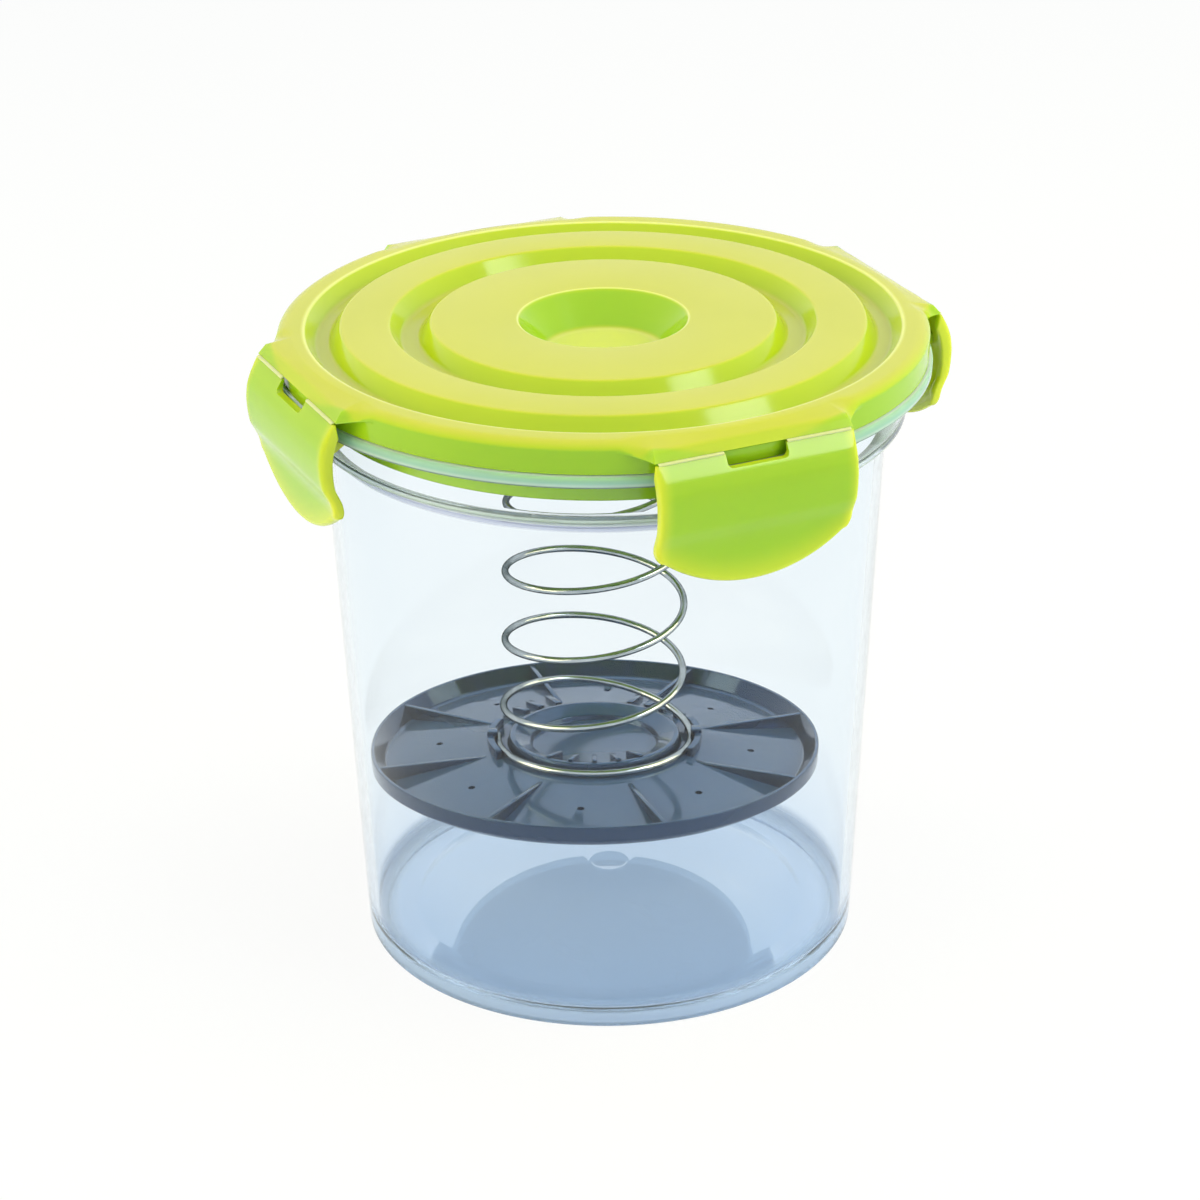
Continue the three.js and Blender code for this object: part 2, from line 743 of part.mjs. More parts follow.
function makePressPlate() {
  const step = 360 / finCount;
  const places = Array.from({ length: finCount }, (_, k) => finTurn + k * step);
  const hole = new THREE.Shape().absarc(holeCircle, 0, holeDiameter / 2, 0, 2 * Math.PI);
  const drill = standing(hole, -overrun, coilSeat + overrun * 2, holeSides);
  const body = join([
    plateDish(),
    ...stopRibs(),
    ...hubRibs(),
    ...places.map((angle) => turned(plateFin(), angle + step / 2)),
    turned(coilClip(), 0),
    turned(coilClip(), 180),
  ]);
  return cut(body, places.map((angle) => turned(drill, angle)));
}

function plastic(color, roughness, opacity = 1) {
  return new THREE.MeshStandardMaterial({
    color,
    roughness,
    metalness: 0,
    transparent: opacity < 1,
    opacity,
  });
}

function named(name, geometry, material) {
  const mesh = new THREE.Mesh(geometry, material);
  mesh.name = name;
  return mesh;
}

const lime = 0xb2dc20;

function buildJar() {
  const jar = new THREE.Group();
  jar.add(named("container", geometryOf(makeContainer()), plastic(0xdcebf7, 0.08, 0.3)));

  const lid = new THREE.Group();
  lid.position.z = lidBase;
  lid.add(named("lid_shell", geometryOf(makeLidShell()), plastic(lime, 0.25)));
  lid.add(named("lid_gasket", geometryOf(makeGasket()), plastic(0xe8ece6, 0.6, 0.8)));
  jar.add(lid);

  const latchGeometry = geometryOf(makeLatch());
  for (const [side, azimuth] of Object.entries(latchAzimuths)) {
    const turn = new THREE.Group();
    turn.rotation.z = radians(azimuth);
    const latch = named("latch_" + side, latchGeometry, plastic(lime, 0.25));
    latch.position.set(hingeDistance, 0, hingeHeight);
    turn.add(latch);
    lid.add(turn);
  }

  const hang = new THREE.Group();
  hang.rotation.z = radians(hangAzimuth);
  console.log("least gap between the spring's turns: " + leastGap(springTurns()).toFixed(2) + " mm");
  const steel = new THREE.MeshStandardMaterial({ color: 0xc9ccca, roughness: 0.2, metalness: 1 });
  hang.add(named("pressure_spring", makeWire(springPath()), steel));
  const plate = named("press_plate", geometryOf(makePressPlate()), plastic(0x3c4757, 0.2));
  plate.position.set(-hangOffset, 0, springBottom);
  plate.rotation.x = -radians(hangTilt);
  plate.translateZ(plateBase - springBottom);
  hang.add(plate);
  jar.add(hang);
  return jar;
}

export default buildJar();
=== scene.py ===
"""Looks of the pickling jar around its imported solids: metres, row frame, one camera, plain studio."""

import math

import bmesh
import bpy
import numpy as np
from mathutils import Matrix, Vector


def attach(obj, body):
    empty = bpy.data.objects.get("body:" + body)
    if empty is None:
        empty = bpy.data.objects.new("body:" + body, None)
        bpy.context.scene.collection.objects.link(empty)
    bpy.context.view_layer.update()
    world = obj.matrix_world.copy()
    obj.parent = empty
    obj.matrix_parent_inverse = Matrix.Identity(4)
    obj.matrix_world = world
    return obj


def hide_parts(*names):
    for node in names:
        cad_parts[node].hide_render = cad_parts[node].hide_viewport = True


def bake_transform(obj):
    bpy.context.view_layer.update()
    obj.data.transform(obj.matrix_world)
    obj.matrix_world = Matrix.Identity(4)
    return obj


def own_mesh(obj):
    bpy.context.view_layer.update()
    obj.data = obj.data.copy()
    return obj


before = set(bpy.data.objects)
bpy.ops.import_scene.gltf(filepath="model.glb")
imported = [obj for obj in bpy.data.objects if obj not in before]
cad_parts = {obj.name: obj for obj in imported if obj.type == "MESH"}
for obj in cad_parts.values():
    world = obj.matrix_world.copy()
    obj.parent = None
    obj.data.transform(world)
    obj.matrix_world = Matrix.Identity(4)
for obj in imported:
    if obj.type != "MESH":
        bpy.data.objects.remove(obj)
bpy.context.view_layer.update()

MM = 0.001
POLE_R = 1e-6
SIDES = {"front": -90.0, "right": 0.0, "back": 90.0, "left": 180.0}

# Sizes in millimetres, as in the part's source; the lid's heights count from the foot of its skirt

SEAT_GAP = 0.3
RIM_Z, FLANGE_R, FLANGE_T, FLANGE_EDGE = 153.4, 79.5, 3.0, 0.8
NECK_R, NECK_FOOT, SHOULDER_Z = 73.4, 139.55, 136.95
WALL_TOP_R, FOOT_R, WALL = 68.7, 62.1, 2.0
TAPER = (WALL_TOP_R - FOOT_R) / SHOULDER_Z
FOOT_RING, FOOT_RING_LEAN = 4.5, 0.3
FLOOR_Z, RECESS_Z, DOME_R, DOME_RISE = 4.2, 1.7, 50.0, 8.5
LID_Z, LID_WALL, LID_ROUND, SKIRT_DRAFT = 153.7, 2.0, 3.0, 0.15
RING_R, RING_TOP, RING_IN = 78.75, 7.6, 72.0
PANEL_Z, GROOVE_Z, LEAN, DRAIN = 8.2, 3.7, 2.6, 2.2
OUTER_PANEL_R, VALLEY_R, INNER_PANEL_R = 63.4, 51.5, 41.7
BOWL_R, BOWL_DEPTH, BOWL_LEAN = 20.6, 8.5, 6.1
BOWL_FOOT = BOWL_R - BOWL_LEAN
PLUG_R, PLUG_WALL, PLUG_DEPTH, PLUG_DRAFT = 69.9, 1.9, 10.2, 0.3
COIL_SEAT_Z, COIL_SEAT_W = 3.6, 4.9
HINGE_R, HINGE_Z, HINGE_GAP = 79.75, 3.6, 0.3
LATCH_W, LATCH_L = 50.0, 32.2
WIRE_R, SPRING_R, FOOT_COIL_R = 0.9, 22.4, 24.5
SPRING_TOP, PITCH, ACTIVE, FOOT_TURNS, TOP_TURNS = 156.1, 18.7, 5.75, 0.5, 0.75
SPRING_BOTTOM = SPRING_TOP - PITCH * ACTIVE
HANG_AZ, HANG_TILT, HANG_OFF = -25.0, 5.0, 3.4

# Shapes


def arc_corners(corners, steps=6):
    """Corners are (x, z) or (x, z, fillet); a fillet becomes an arc, and the ends stay as they are."""
    out = []
    last = len(corners) - 1
    for i, corner in enumerate(corners):
        x, z = corner[0], corner[1]
        fillet = corner[2] if len(corner) > 2 else 0
        if not fillet or i in (0, last):
            out.append((x, z))
            continue
        here = Vector((x, z))
        a = Vector(corners[i - 1][:2]) - here
        b = Vector(corners[i + 1][:2]) - here
        room = 0.48 * min(a.length, b.length)
        a.normalize()
        b.normalize()
        half = math.acos(max(-1, min(1, a.dot(b)))) / 2
        reach = min(fillet / math.tan(half), room)
        radius = reach * math.tan(half)
        centre = here + (a + b).normalized() * (radius / math.sin(half))
        start = here + a * reach - centre
        end = here + b * reach - centre
        turn = math.atan2(start.x * end.y - start.y * end.x, start.dot(end))
        for k in range(steps + 1):
            c, s = math.cos(turn * k / steps), math.sin(turn * k / steps)
            out.append((centre.x + start.x * c - start.y * s, centre.y + start.x * s + start.y * c))
    return out


def smoothstep(x, low, high):
    t = max(0.0, min(1.0, (x - low) / (high - low)))
    return t * t * (3 - 2 * t)


def resampled(points, count):
    """Points at even steps along a line."""
    lengths = [0.0]
    for a, b in zip(points, points[1:]):
        lengths.append(lengths[-1] + math.dist(a, b))
    steps = np.linspace(0, lengths[-1], count)
    xs = np.interp(steps, lengths, [p[0] for p in points])
    zs = np.interp(steps, lengths, [p[1] for p in points])
    return list(zip(xs.tolist(), zs.tolist()))


def full_turn(count):
    """Angles at even steps round the axis."""
    return [2 * math.pi * k / count for k in range(count)]


def circle(radius, z, turns):
    """Points round the axis at the given angles, or one point for a pole."""
    if radius < POLE_R:
        return [(0, 0, z)]
    return [(radius * math.cos(a), radius * math.sin(a), z) for a in turns]


def grid_mesh(bm, rings, wrap):
    """Faces between rings of points; a ring of one point is a pole."""
    made = [[bm.verts.new(Vector(p) * MM) for p in ring] for ring in rings]
    pairs = list(zip(made, made[1:]))
    if wrap:
        pairs.append((made[-1], made[0]))
    for low, high in pairs:
        count = max(len(low), len(high))
        for k in range(count):
            n = (k + 1) % count
            corners = [low[k % len(low)], low[n % len(low)], high[n % len(high)], high[k % len(high)]]
            unique = list(dict.fromkeys(corners))
            if len(unique) > 2:
                bm.faces.new(unique)


def revolve(bm, outline, segments=160, wrap=False, z0=0.0):
    """Outline of (radius, z) that runs outward below, up, and back inward above."""
    grid_mesh(bm, [circle(radius, z + z0, full_turn(segments)) for radius, z in outline], wrap)


def capped_tube(bm, rings):
    """Faces between closed rings of vertices, with both ends capped."""
    for a, b in zip(rings, rings[1:]):
        for k in range(len(a)):
            n = (k + 1) % len(a)
            bm.faces.new([a[k], a[n], b[n], b[k]])
    bm.faces.new(rings[0][::-1])
    bm.faces.new(rings[-1])


def joined_skins(bm, front, back):
    """Faces over two grids of vertices of one size, joined round their border."""
    rows, columns = len(front) - 1, len(front[0]) - 1
    for i in range(rows):
        for k in range(columns):
            bm.faces.new([front[i][k], front[i][k + 1], front[i + 1][k + 1], front[i + 1][k]])
            bm.faces.new([back[i][k], back[i + 1][k], back[i + 1][k + 1], back[i][k + 1]])
    for k in range(columns):
        for i in (0, -1):
            bm.faces.new([front[i][k], front[i][k + 1], back[i][k + 1], back[i][k]])
    for i in range(rows):
        for k in (0, -1):
            bm.faces.new([front[i][k], front[i + 1][k], back[i + 1][k], back[i][k]])


def prism(bm, points, low, high, place=lambda *point: point):
    """A prism of a closed outline; place turns (x, y, height) into a point in millimetres."""
    bottom = [bm.verts.new(Vector(place(x, y, low)) * MM) for x, y in points]
    top = [bm.verts.new(Vector(place(x, y, high)) * MM) for x, y in points]
    faces = [bm.faces.new(bottom[::-1]), bm.faces.new(top)]
    count = len(points)
    for k in range(count):
        n = (k + 1) % count
        faces.append(bm.faces.new([bottom[k], bottom[n], top[n], top[k]]))
    return faces


def bevelled(bm, faces, width, segments=3):
    edges = list({edge for face in faces for edge in face.edges})
    bmesh.ops.bevel(
        bm, geom=edges, offset=width * MM, segments=segments, profile=0.5, affect="EDGES", clamp_overlap=True
    )


def finish_mesh(bm, name):
    bmesh.ops.recalc_face_normals(bm, faces=bm.faces)
    mesh = bpy.data.meshes.new(name)
    bm.to_mesh(mesh)
    bm.free()
    return mesh


def new_object(name, mesh, smooth_angle=38.0):
    for polygon in mesh.polygons:
        polygon.use_smooth = True
    mesh.set_sharp_from_angle(angle=math.radians(smooth_angle))
    obj = bpy.data.objects.new(name, mesh)
    bpy.context.scene.collection.objects.link(obj)
    return obj


def made_object(bm, name, smooth_angle=38.0):
    return new_object(name, finish_mesh(bm, name), smooth_angle)


def cut_away(obj, cutter):
    """The object's mesh without the cutter's volume, ready for more work; both objects go."""
    modifier = obj.modifiers.new("cut", "BOOLEAN")
    modifier.operation = "DIFFERENCE"
    modifier.object = cutter
    modifier.solver = "EXACT"
    graph = bpy.context.evaluated_depsgraph_get()
    mesh = bpy.data.meshes.new_from_object(obj.evaluated_get(graph))
    bm = bmesh.new()
    bm.from_mesh(mesh)
    bpy.data.objects.remove(obj)
    bpy.data.objects.remove(cutter)
    return bm


# Materials

NOISE_LOW, NOISE_HIGH = 0.3, 0.7
LID_SPAN = (0.0, 100.0)
FOOT_SPAN = (0.0, FOOT_R)
LOWER_SPAN = (0.0, 75.0)
UPPER_SPAN = (133.4, RIM_Z)


def rgba(value):
    """A colour with full alpha; a bare number is a grey."""
    return (*value, 1) if isinstance(value, tuple) else (value, value, value, 1)


class Nodes:
    """A material with a Principled shader and short ways to add nodes to it."""

    def __init__(self, name, **values):
        self.material = bpy.data.materials.new(name)
        self.material.use_nodes = True
        self.tree = self.material.node_tree
        self.shader = self.tree.nodes["Principled BSDF"]
        self.output = self.tree.nodes["Material Output"]
        for key, value in values.items():
            self.shader.inputs[key.replace("_", " ")].default_value = value
        self.texture = self.add("ShaderNodeTexCoord")
        self.coordinates = self.texture.outputs["Object"]

    def add(self, kind, **settings):
        node = self.tree.nodes.new(kind)
        for key, value in settings.items():
            setattr(node, key, value)
        return node

    def link(self, source, target):
        """Joins an output to an input, or writes a plain number or colour into the input."""
        if isinstance(source, bpy.types.NodeSocket):
            self.tree.links.new(source, target)
        else:
            target.default_value = source if target.type == "VALUE" else rgba(source)

    def plug(self, source, name):
        self.link(source, self.shader.inputs[name])

    def noise(self, scale, detail, stretch=(1, 1, 1)):
        mapping = self.add("ShaderNodeMapping")
        mapping.inputs["Scale"].default_value = stretch
        self.link(self.coordinates, mapping.inputs["Vector"])
        node = self.add("ShaderNodeTexNoise")
        node.inputs["Scale"].default_value = scale
        node.inputs["Detail"].default_value = detail
        self.link(mapping.outputs["Vector"], node.inputs["Vector"])
        return node.outputs["Fac"]

    def attribute(self, name):
        return self.add("ShaderNodeAttribute", attribute_name=name).outputs["Fac"]

    def slope(self):
        """How far a face looks up: 1 when level, 0 when upright."""
        normal = self.add("ShaderNodeSeparateXYZ")
        self.link(self.texture.outputs["Normal"], normal.inputs["Vector"])
        return normal.outputs["Z"]

    def height_and_radius(self):
        """Height and distance from the jar's axis in metres."""
        place = self.add("ShaderNodeSeparateXYZ")
        self.link(self.coordinates, place.inputs["Vector"])
        flat = self.add("ShaderNodeVectorMath", operation="MULTIPLY")
        flat.inputs[1].default_value = (1, 1, 0)
        self.link(self.coordinates, flat.inputs[0])
        length = self.add("ShaderNodeVectorMath", operation="LENGTH")
        self.link(flat.outputs["Vector"], length.inputs[0])
        return place.outputs["Z"], length.outputs["Value"]

    def ramp(self, source, stops):
        node = self.add("ShaderNodeValToRGB")
        elements = node.color_ramp.elements
        while len(elements) < len(stops):
            elements.new(0.5)
        for element, (position, colour) in zip(elements, stops):
            element.position = position
            element.color = rgba(colour)
        self.link(source, node.inputs["Fac"])
        return node.outputs["Color"]

    def span(self, source, ends, values):
        """A value between two ends, turned into one between two other values."""
        node = self.add("ShaderNodeMapRange")
        node.inputs["From Min"].default_value, node.inputs["From Max"].default_value = ends
        node.inputs["To Min"].default_value, node.inputs["To Max"].default_value = values
        self.link(source, node.inputs["Value"])
        return node.outputs["Result"]

    def by_length(self, source, ends, stops):
        """A ramp over a length in metres, with its ends and stops given in millimetres."""
        low, high = ends
        share = self.span(source, (low * MM, high * MM), (0.0, 1.0))
        return self.ramp(share, [((length - low) / (high - low), colour) for length, colour in stops])

    def tones(self, noise, first, second):
        """A noise value turned into a colour between two near ones."""
        return self.ramp(noise, [(NOISE_LOW, first), (NOISE_HIGH, second)])

    def spread(self, noise, low, high):
        """A noise value turned into a value between low and high."""
        return self.span(noise, (NOISE_LOW, NOISE_HIGH), (low, high))

    def mix(self, factor, first, second, blend="MIX"):
        node = self.add("ShaderNodeMix", data_type="RGBA", blend_type=blend)
        self.link(factor, node.inputs["Factor"])
        self.link(first, node.inputs["A"])
        self.link(second, node.inputs["B"])
        return node.outputs["Result"]

    def multiply(self, first, second):
        return self.mix(1.0, first, second, "MULTIPLY")

    def bump(self, height, strength, distance):
        node = self.add("ShaderNodeBump")
        node.inputs["Strength"].default_value = strength
        node.inputs["Distance"].default_value = distance
        self.link(height, node.inputs["Height"])
        return node.outputs["Normal"]


def lime_plastic():
    """Moulded lime plastic with painted light: painted shade makes upright sides, latch faces and bowl walls
    deeper green, a painted glow makes thin latch borders yellow, and painted highlights make the bowl floor,
    the ring's and bowl's inner top edges and the hinge webs pale.
    """
    m = Nodes(
        "lime_plastic",
        IOR=1.5,
        Subsurface_Weight=0.5,
        Subsurface_Radius=(1.0, 0.9, 0.15),
        Subsurface_Scale=0.003,
    )
    broad = m.noise(26, 2)
    # Lit and shaded copies of the lime: flat is the lit tone for level faces, the other two are painted shade
    # for sloped and upright faces.
    flat = m.tones(broad, (0.530, 0.575, 0.036), (0.560, 0.600, 0.046))
    painted_shade_leaning = m.tones(broad, (0.455, 0.615, 0.006), (0.485, 0.635, 0.010))
    upright = m.tones(broad, (0.315, 0.575, 0.008), (0.345, 0.600, 0.014))
    thin = m.tones(broad, (0.640, 0.720, 0.018), (0.680, 0.750, 0.026))
    pale = m.tones(broad, (0.780, 0.860, 0.300), (0.820, 0.890, 0.360))
    slope = m.slope()
    steep_shade_mask = m.ramp(slope, [(0.1, 1.0), (0.5, 0.0)])
    level = m.ramp(slope, [(0.55, 0.0), (0.95, 1.0)])
    body = m.mix(level, m.mix(steep_shade_mask, painted_shade_leaning, upright), flat)
    height, radius = m.height_and_radius()
    # Painted shade: the bowl's walls and the latch faces take the deeper green upright tone.
    painted_shade_bowl_wall = [(BOWL_FOOT + 0.1, 0.0), (BOWL_FOOT + 0.7, 0.9), (BOWL_R - 0.6, 0.9), (BOWL_R + 0.1, 0.0)]
    painted_shade_latch_faces = [(HINGE_R - 0.05, 0.0), (HINGE_R + 0.85, 0.75)]
    body = m.mix(m.by_length(radius, LID_SPAN, painted_shade_bowl_wall + painted_shade_latch_faces), body, upright)
    # Painted highlight: the bowl's floor is painted partly pale.
    bowl_floor = [(BOWL_FOOT - 0.5, 0.45), (BOWL_FOOT + 0.3, 0.0)]
    body = m.mix(m.by_length(radius, LID_SPAN, bowl_floor), body, pale)
    # Painted glow: a yellow tone along the latch's thin borders, and a lighter tone on its back skin, which
    # lies in shade.
    body = m.mix(m.attribute("painted_border_glow"), body, thin)
    # Painted highlights: pale lines along the rounded inner top edges of the bowl and the ring.
    bowl_edge_highlight = [(BOWL_R - 0.15, 0.0), (BOWL_R, 0.7), (BOWL_R + 0.25, 0.7), (BOWL_R + 0.5, 0.0)]
    ring_edge = [(RING_IN - 0.25, 0.0), (RING_IN - 0.05, 0.75), (RING_IN + 0.45, 0.75), (RING_IN + 0.75, 0.0)]
    ring_z = LID_Z + RING_TOP
    top = m.by_length(height, (ring_z - 1.3, ring_z + 0.7), [(ring_z - 0.4, 0.0), (ring_z - 0.2, 1.0)])
    painted_edge_highlights = m.multiply(m.by_length(radius, LID_SPAN, bowl_edge_highlight + ring_edge), top)
    body = m.mix(painted_edge_highlights, body, pale)
    # Painted highlight: the hinge webs are painted pale.
    m.plug(m.mix(m.attribute("painted_hinge_highlight"), body, pale), "Base Color")
    m.plug(m.spread(m.noise(60, 4), 0.11, 0.17), "Roughness")
    m.plug(m.bump(m.noise(34, 2), 0.05, 0.0015), "Normal")
    return m.material


def clear_plastic():
    """Clear plastic: nearly white walls; a bluer foot and floor, darker towards the bottom, partly the
    plastic's own tint and partly painted shade; and painted reflection and shade lines at shoulder and rim.
    """
    m = Nodes("clear_plastic", IOR=1.15, Coat_IOR=2.2)
    height, radius = m.height_and_radius()
    floor_top = FLOOR_Z + DOME_RISE
    flange_z = RIM_Z - FLANGE_T
    wall, lavender, sage = (0.955, 0.98, 1.0), (0.54, 0.59, 0.80), (0.64, 0.75, 0.70)
    # Partly painted shade: the foot and floor are painted bluer and darker towards the bottom.
    low = m.by_length(height, LOWER_SPAN, [(floor_top + 1.55, 1.0), (floor_top + 6.05, 0.0)])
    floor = m.multiply(m.by_length(radius, FOOT_SPAN, [(0.88 * FOOT_R, 1.0), (0.93 * FOOT_R, 0.0)]), low)
    walls = m.by_length(
        height,
        LOWER_SPAN,
        [
            (0.0, (0.43, 0.55, 0.76)),
            (FLOOR_Z + 0.3, (0.48, 0.61, 0.81)),
            (FLOOR_Z + 4.05, (0.80, 0.88, 0.97)),
            (FLOOR_Z + 33.3, wall),
        ],
    )
    bottom = m.by_length(
        radius,
        FOOT_SPAN,
        [(0.2 * FOOT_R, (0.47, 0.62, 0.80)), (0.9 * FOOT_R, (0.53, 0.67, 0.84))],
    )
    # Painted reflections and shade: a lavender line at the shoulder, a sage line at the neck, and at the
    # flange dark lines of painted shade, a pale cyan painted highlight, a teal-green painted reflection of
    # the lid and a pale top edge.
    painted_bands = m.by_length(
        height,
        UPPER_SPAN,
        [
            (SHOULDER_Z - 1.85, wall),
            (SHOULDER_Z - 1.35, lavender),
            (SHOULDER_Z - 0.25, lavender),
            (SHOULDER_Z + 0.01, (0.82, 0.88, 0.90)),
            (SHOULDER_Z + 0.35, sage),
            (NECK_FOOT + 0.45, sage),
            (NECK_FOOT + 1.05, wall),
            (flange_z + 0.02, wall),
            (flange_z + 0.10, (0.12, 0.18, 0.18)),
            (flange_z + 0.34, (0.18, 0.26, 0.26)),
            (flange_z + 0.80, (0.78, 0.98, 1.0)),
            (flange_z + 1.50, (0.50, 0.86, 0.76)),
            (RIM_Z - 0.16, (0.58, 0.95, 0.66)),
            (RIM_Z - 0.04, (0.86, 0.97, 0.96)),
        ],
    )
    high = m.by_length(height, UPPER_SPAN, [(UPPER_SPAN[0], 0.0), (UPPER_SPAN[0] + 0.2, 1.0)])
    tint = m.mix(high, m.mix(floor, walls, bottom), painted_bands)
    cloud = m.tones(m.noise(20, 2), (0.975, 0.98, 0.985), 1.0)
    m.plug(m.multiply(tint, cloud), "Base Color")
    foot_clearness = m.by_length(height, LOWER_SPAN, [(FLOOR_Z - 0.075, 0.62), (FLOOR_Z + 3.3, 0.99)])
    upper_clearness = m.by_length(
        height,
        UPPER_SPAN,
        [
            (SHOULDER_Z - 1.85, 0.99),
            (SHOULDER_Z - 1.35, 0.6),
            (NECK_FOOT + 0.45, 0.6),
            (NECK_FOOT + 1.05, 0.99),
            (flange_z - 0.20, 0.99),
            (flange_z + 0.04, 0.5),
        ],
    )
    m.plug(m.mix(high, m.mix(floor, foot_clearness, 0.98), upper_clearness), "Transmission Weight")
    m.plug(m.span(floor, (0.0, 1.0), (0.04, 1.0)), "Coat Weight")
    m.plug(m.spread(m.noise(45, 3), 0.0, 0.03), "Roughness")
    m.plug(m.bump(m.noise(38, 2, (1, 1, 0.35)), 0.05, 0.0012), "Normal")
    absorb = m.add("ShaderNodeVolumeAbsorption")
    absorb.inputs["Color"].default_value = (0.45, 0.80, 1.0, 1)
    absorb.inputs["Density"].default_value = 14.0
    m.link(absorb.outputs["Volume"], m.output.inputs["Volume"])
    return m.material


def slate_plastic():
    """Dark grey-blue moulded plastic, painted lighter where it lies level, as painted light from above."""
    m = Nodes("slate_plastic", IOR=1.8, Specular_Tint=(0.34, 0.56, 1.0, 1))
    # Painted light: level faces take a lighter tone than upright ones.
    level = m.ramp(m.slope(), [(0.75, 0.0), (0.95, 1.0)])
    broad = m.noise(30, 3)
    upright = m.tones(broad, (0.004, 0.012, 0.034), (0.008, 0.018, 0.044))
    flat = m.tones(broad, (0.026, 0.060, 0.140), (0.036, 0.074, 0.162))
    m.plug(m.mix(level, upright, flat), "Base Color")
    m.plug(m.spread(m.noise(70, 4), 0.05, 0.10), "Roughness")
    m.plug(m.bump(m.noise(30, 2), 0.06, 0.0015), "Normal")
    return m.material


def spring_steel():
    """Bright drawn wire, darker where it is seen at a low angle."""
    m = Nodes("spring_steel", Metallic=1.0, Anisotropic=0.3, Specular_Tint=(0.09, 0.115, 0.12, 1))
    streaks = m.noise(160, 4, (1, 1, 5.0))
    m.plug(m.tones(streaks, (0.38, 0.42, 0.43), (0.56, 0.60, 0.61)), "Base Color")
    m.plug(m.spread(m.noise(420, 3, (1, 1, 3.0)), 0.08, 0.16), "Roughness")
    m.plug(m.bump(m.noise(900, 3, (1, 1, 4.0)), 0.10, 0.0001), "Normal")
    return m.material


def seal_rubber():
    """Pale translucent silicone."""
    m = Nodes("seal_rubber", IOR=1.42, Subsurface_Weight=0.4, Subsurface_Scale=0.001)
    m.plug(m.tones(m.noise(60, 3), (0.72, 0.78, 0.70), (0.80, 0.84, 0.78)), "Base Color")
    m.plug(m.spread(m.noise(300, 3), 0.42, 0.58), "Roughness")
    m.plug(m.bump(m.noise(900, 2), 0.1, 0.0001), "Normal")
    return m.material


LIME = lime_plastic()
CLEAR = clear_plastic()
SLATE = slate_plastic()
STEEL = spring_steel()
RUBBER = seal_rubber()


def dress(obj, material, slot, body, node=None):
    """Gives a piece its material, the body it rides on and the CAD node that it replaces."""
    obj.data.materials.clear()
    obj.data.materials.append(material)
    if body:
        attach(obj, body)
    if node:
        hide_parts(node)


# Container

DOME_STEPS = 14
GATE_MARK = [(0, 0), (4.2, 0), (4.55, 0.06), (4.8, 0.14), (5.1, 0.14), (5.4, 0.05), (5.8, 0)]


def dome_z(radius, base):
    return base + DOME_RISE * (1 - (radius / DOME_R) ** 2)


def dome(base):
    """Points of the domed floor from the middle out, up to its edge."""
    radii = [DOME_R * k / DOME_STEPS for k in range(DOME_STEPS)]
    return [(radius, dome_z(radius, base)) for radius in radii]


def make_container():
    inner_foot = FOOT_R + TAPER * FLOOR_Z - WALL
    neck_in = NECK_R - WALL
    flange_z = RIM_Z - FLANGE_T
    below = dome(RECESS_Z)
    above = [(radius, dome_z(radius, FLOOR_Z) + lift) for radius, lift in GATE_MARK]
    above += [point for point in dome(FLOOR_Z) if point[0] > GATE_MARK[-1][0]]
    shell = arc_corners(
        [
            below[-1],
            (DOME_R, RECESS_Z, 3.5),
            (FOOT_R - FOOT_RING, RECESS_Z, 0.8),
            (FOOT_R - FOOT_RING + FOOT_RING_LEAN, 0.0, 0.9),
            (FOOT_R, 0.0, 1.6),
            (WALL_TOP_R, SHOULDER_Z, 1.6),
            (NECK_R, NECK_FOOT, 1.2),
            (NECK_R, flange_z, 0.5),
            (FLANGE_R, flange_z, FLANGE_EDGE),
            (FLANGE_R, RIM_Z, FLANGE_EDGE),
            (neck_in, RIM_Z, FLANGE_EDGE),
            (neck_in, NECK_FOOT + WALL / 2, 1.6),
            (WALL_TOP_R - WALL, SHOULDER_Z + WALL / 2, 1.2),
            (inner_foot, FLOOR_Z, 2.5),
            (DOME_R, FLOOR_Z, 3.5),
            above[-1],
        ]
    )
    bm = bmesh.new()
    revolve(bm, below + shell[1:-1] + above[::-1], 224)
    obj = made_object(bm, "jar_container", 50)
    obj.visible_shadow = False
    dress(obj, CLEAR, "clear_plastic", "container", "container")


# Lid

EAR_R = HINGE_R - HINGE_GAP
EAR_BLEND, EAR_BLEND_DROP, EAR_CHAMFER, EAR_CREASE = 6.0, 3.6, 1.95, 6.3
EAR_UNDER, EAR_FADE, EAR_EDGE = 0.15, 1.3, 0.3
EAR_CORNER = math.degrees(math.atan2(LATCH_W / 2, EAR_R))
EAR_END = math.degrees(math.asin((LATCH_W / 2 + EAR_BLEND) / RING_R))
ROUND_STEPS = 10
LID_HOOK_STEPS = (30, 135, 240)
LID_HOOK_W, LID_HOOK_WALL, LID_HOOK_LIP, LID_HOOK_ROOT = 5.0, 1.6, 0.4, 0.4


def from_latch(azimuth):
    """Degrees between an azimuth and the middle of the nearest latch."""
    return abs((azimuth + 45.0) % 90.0 - 45.0)


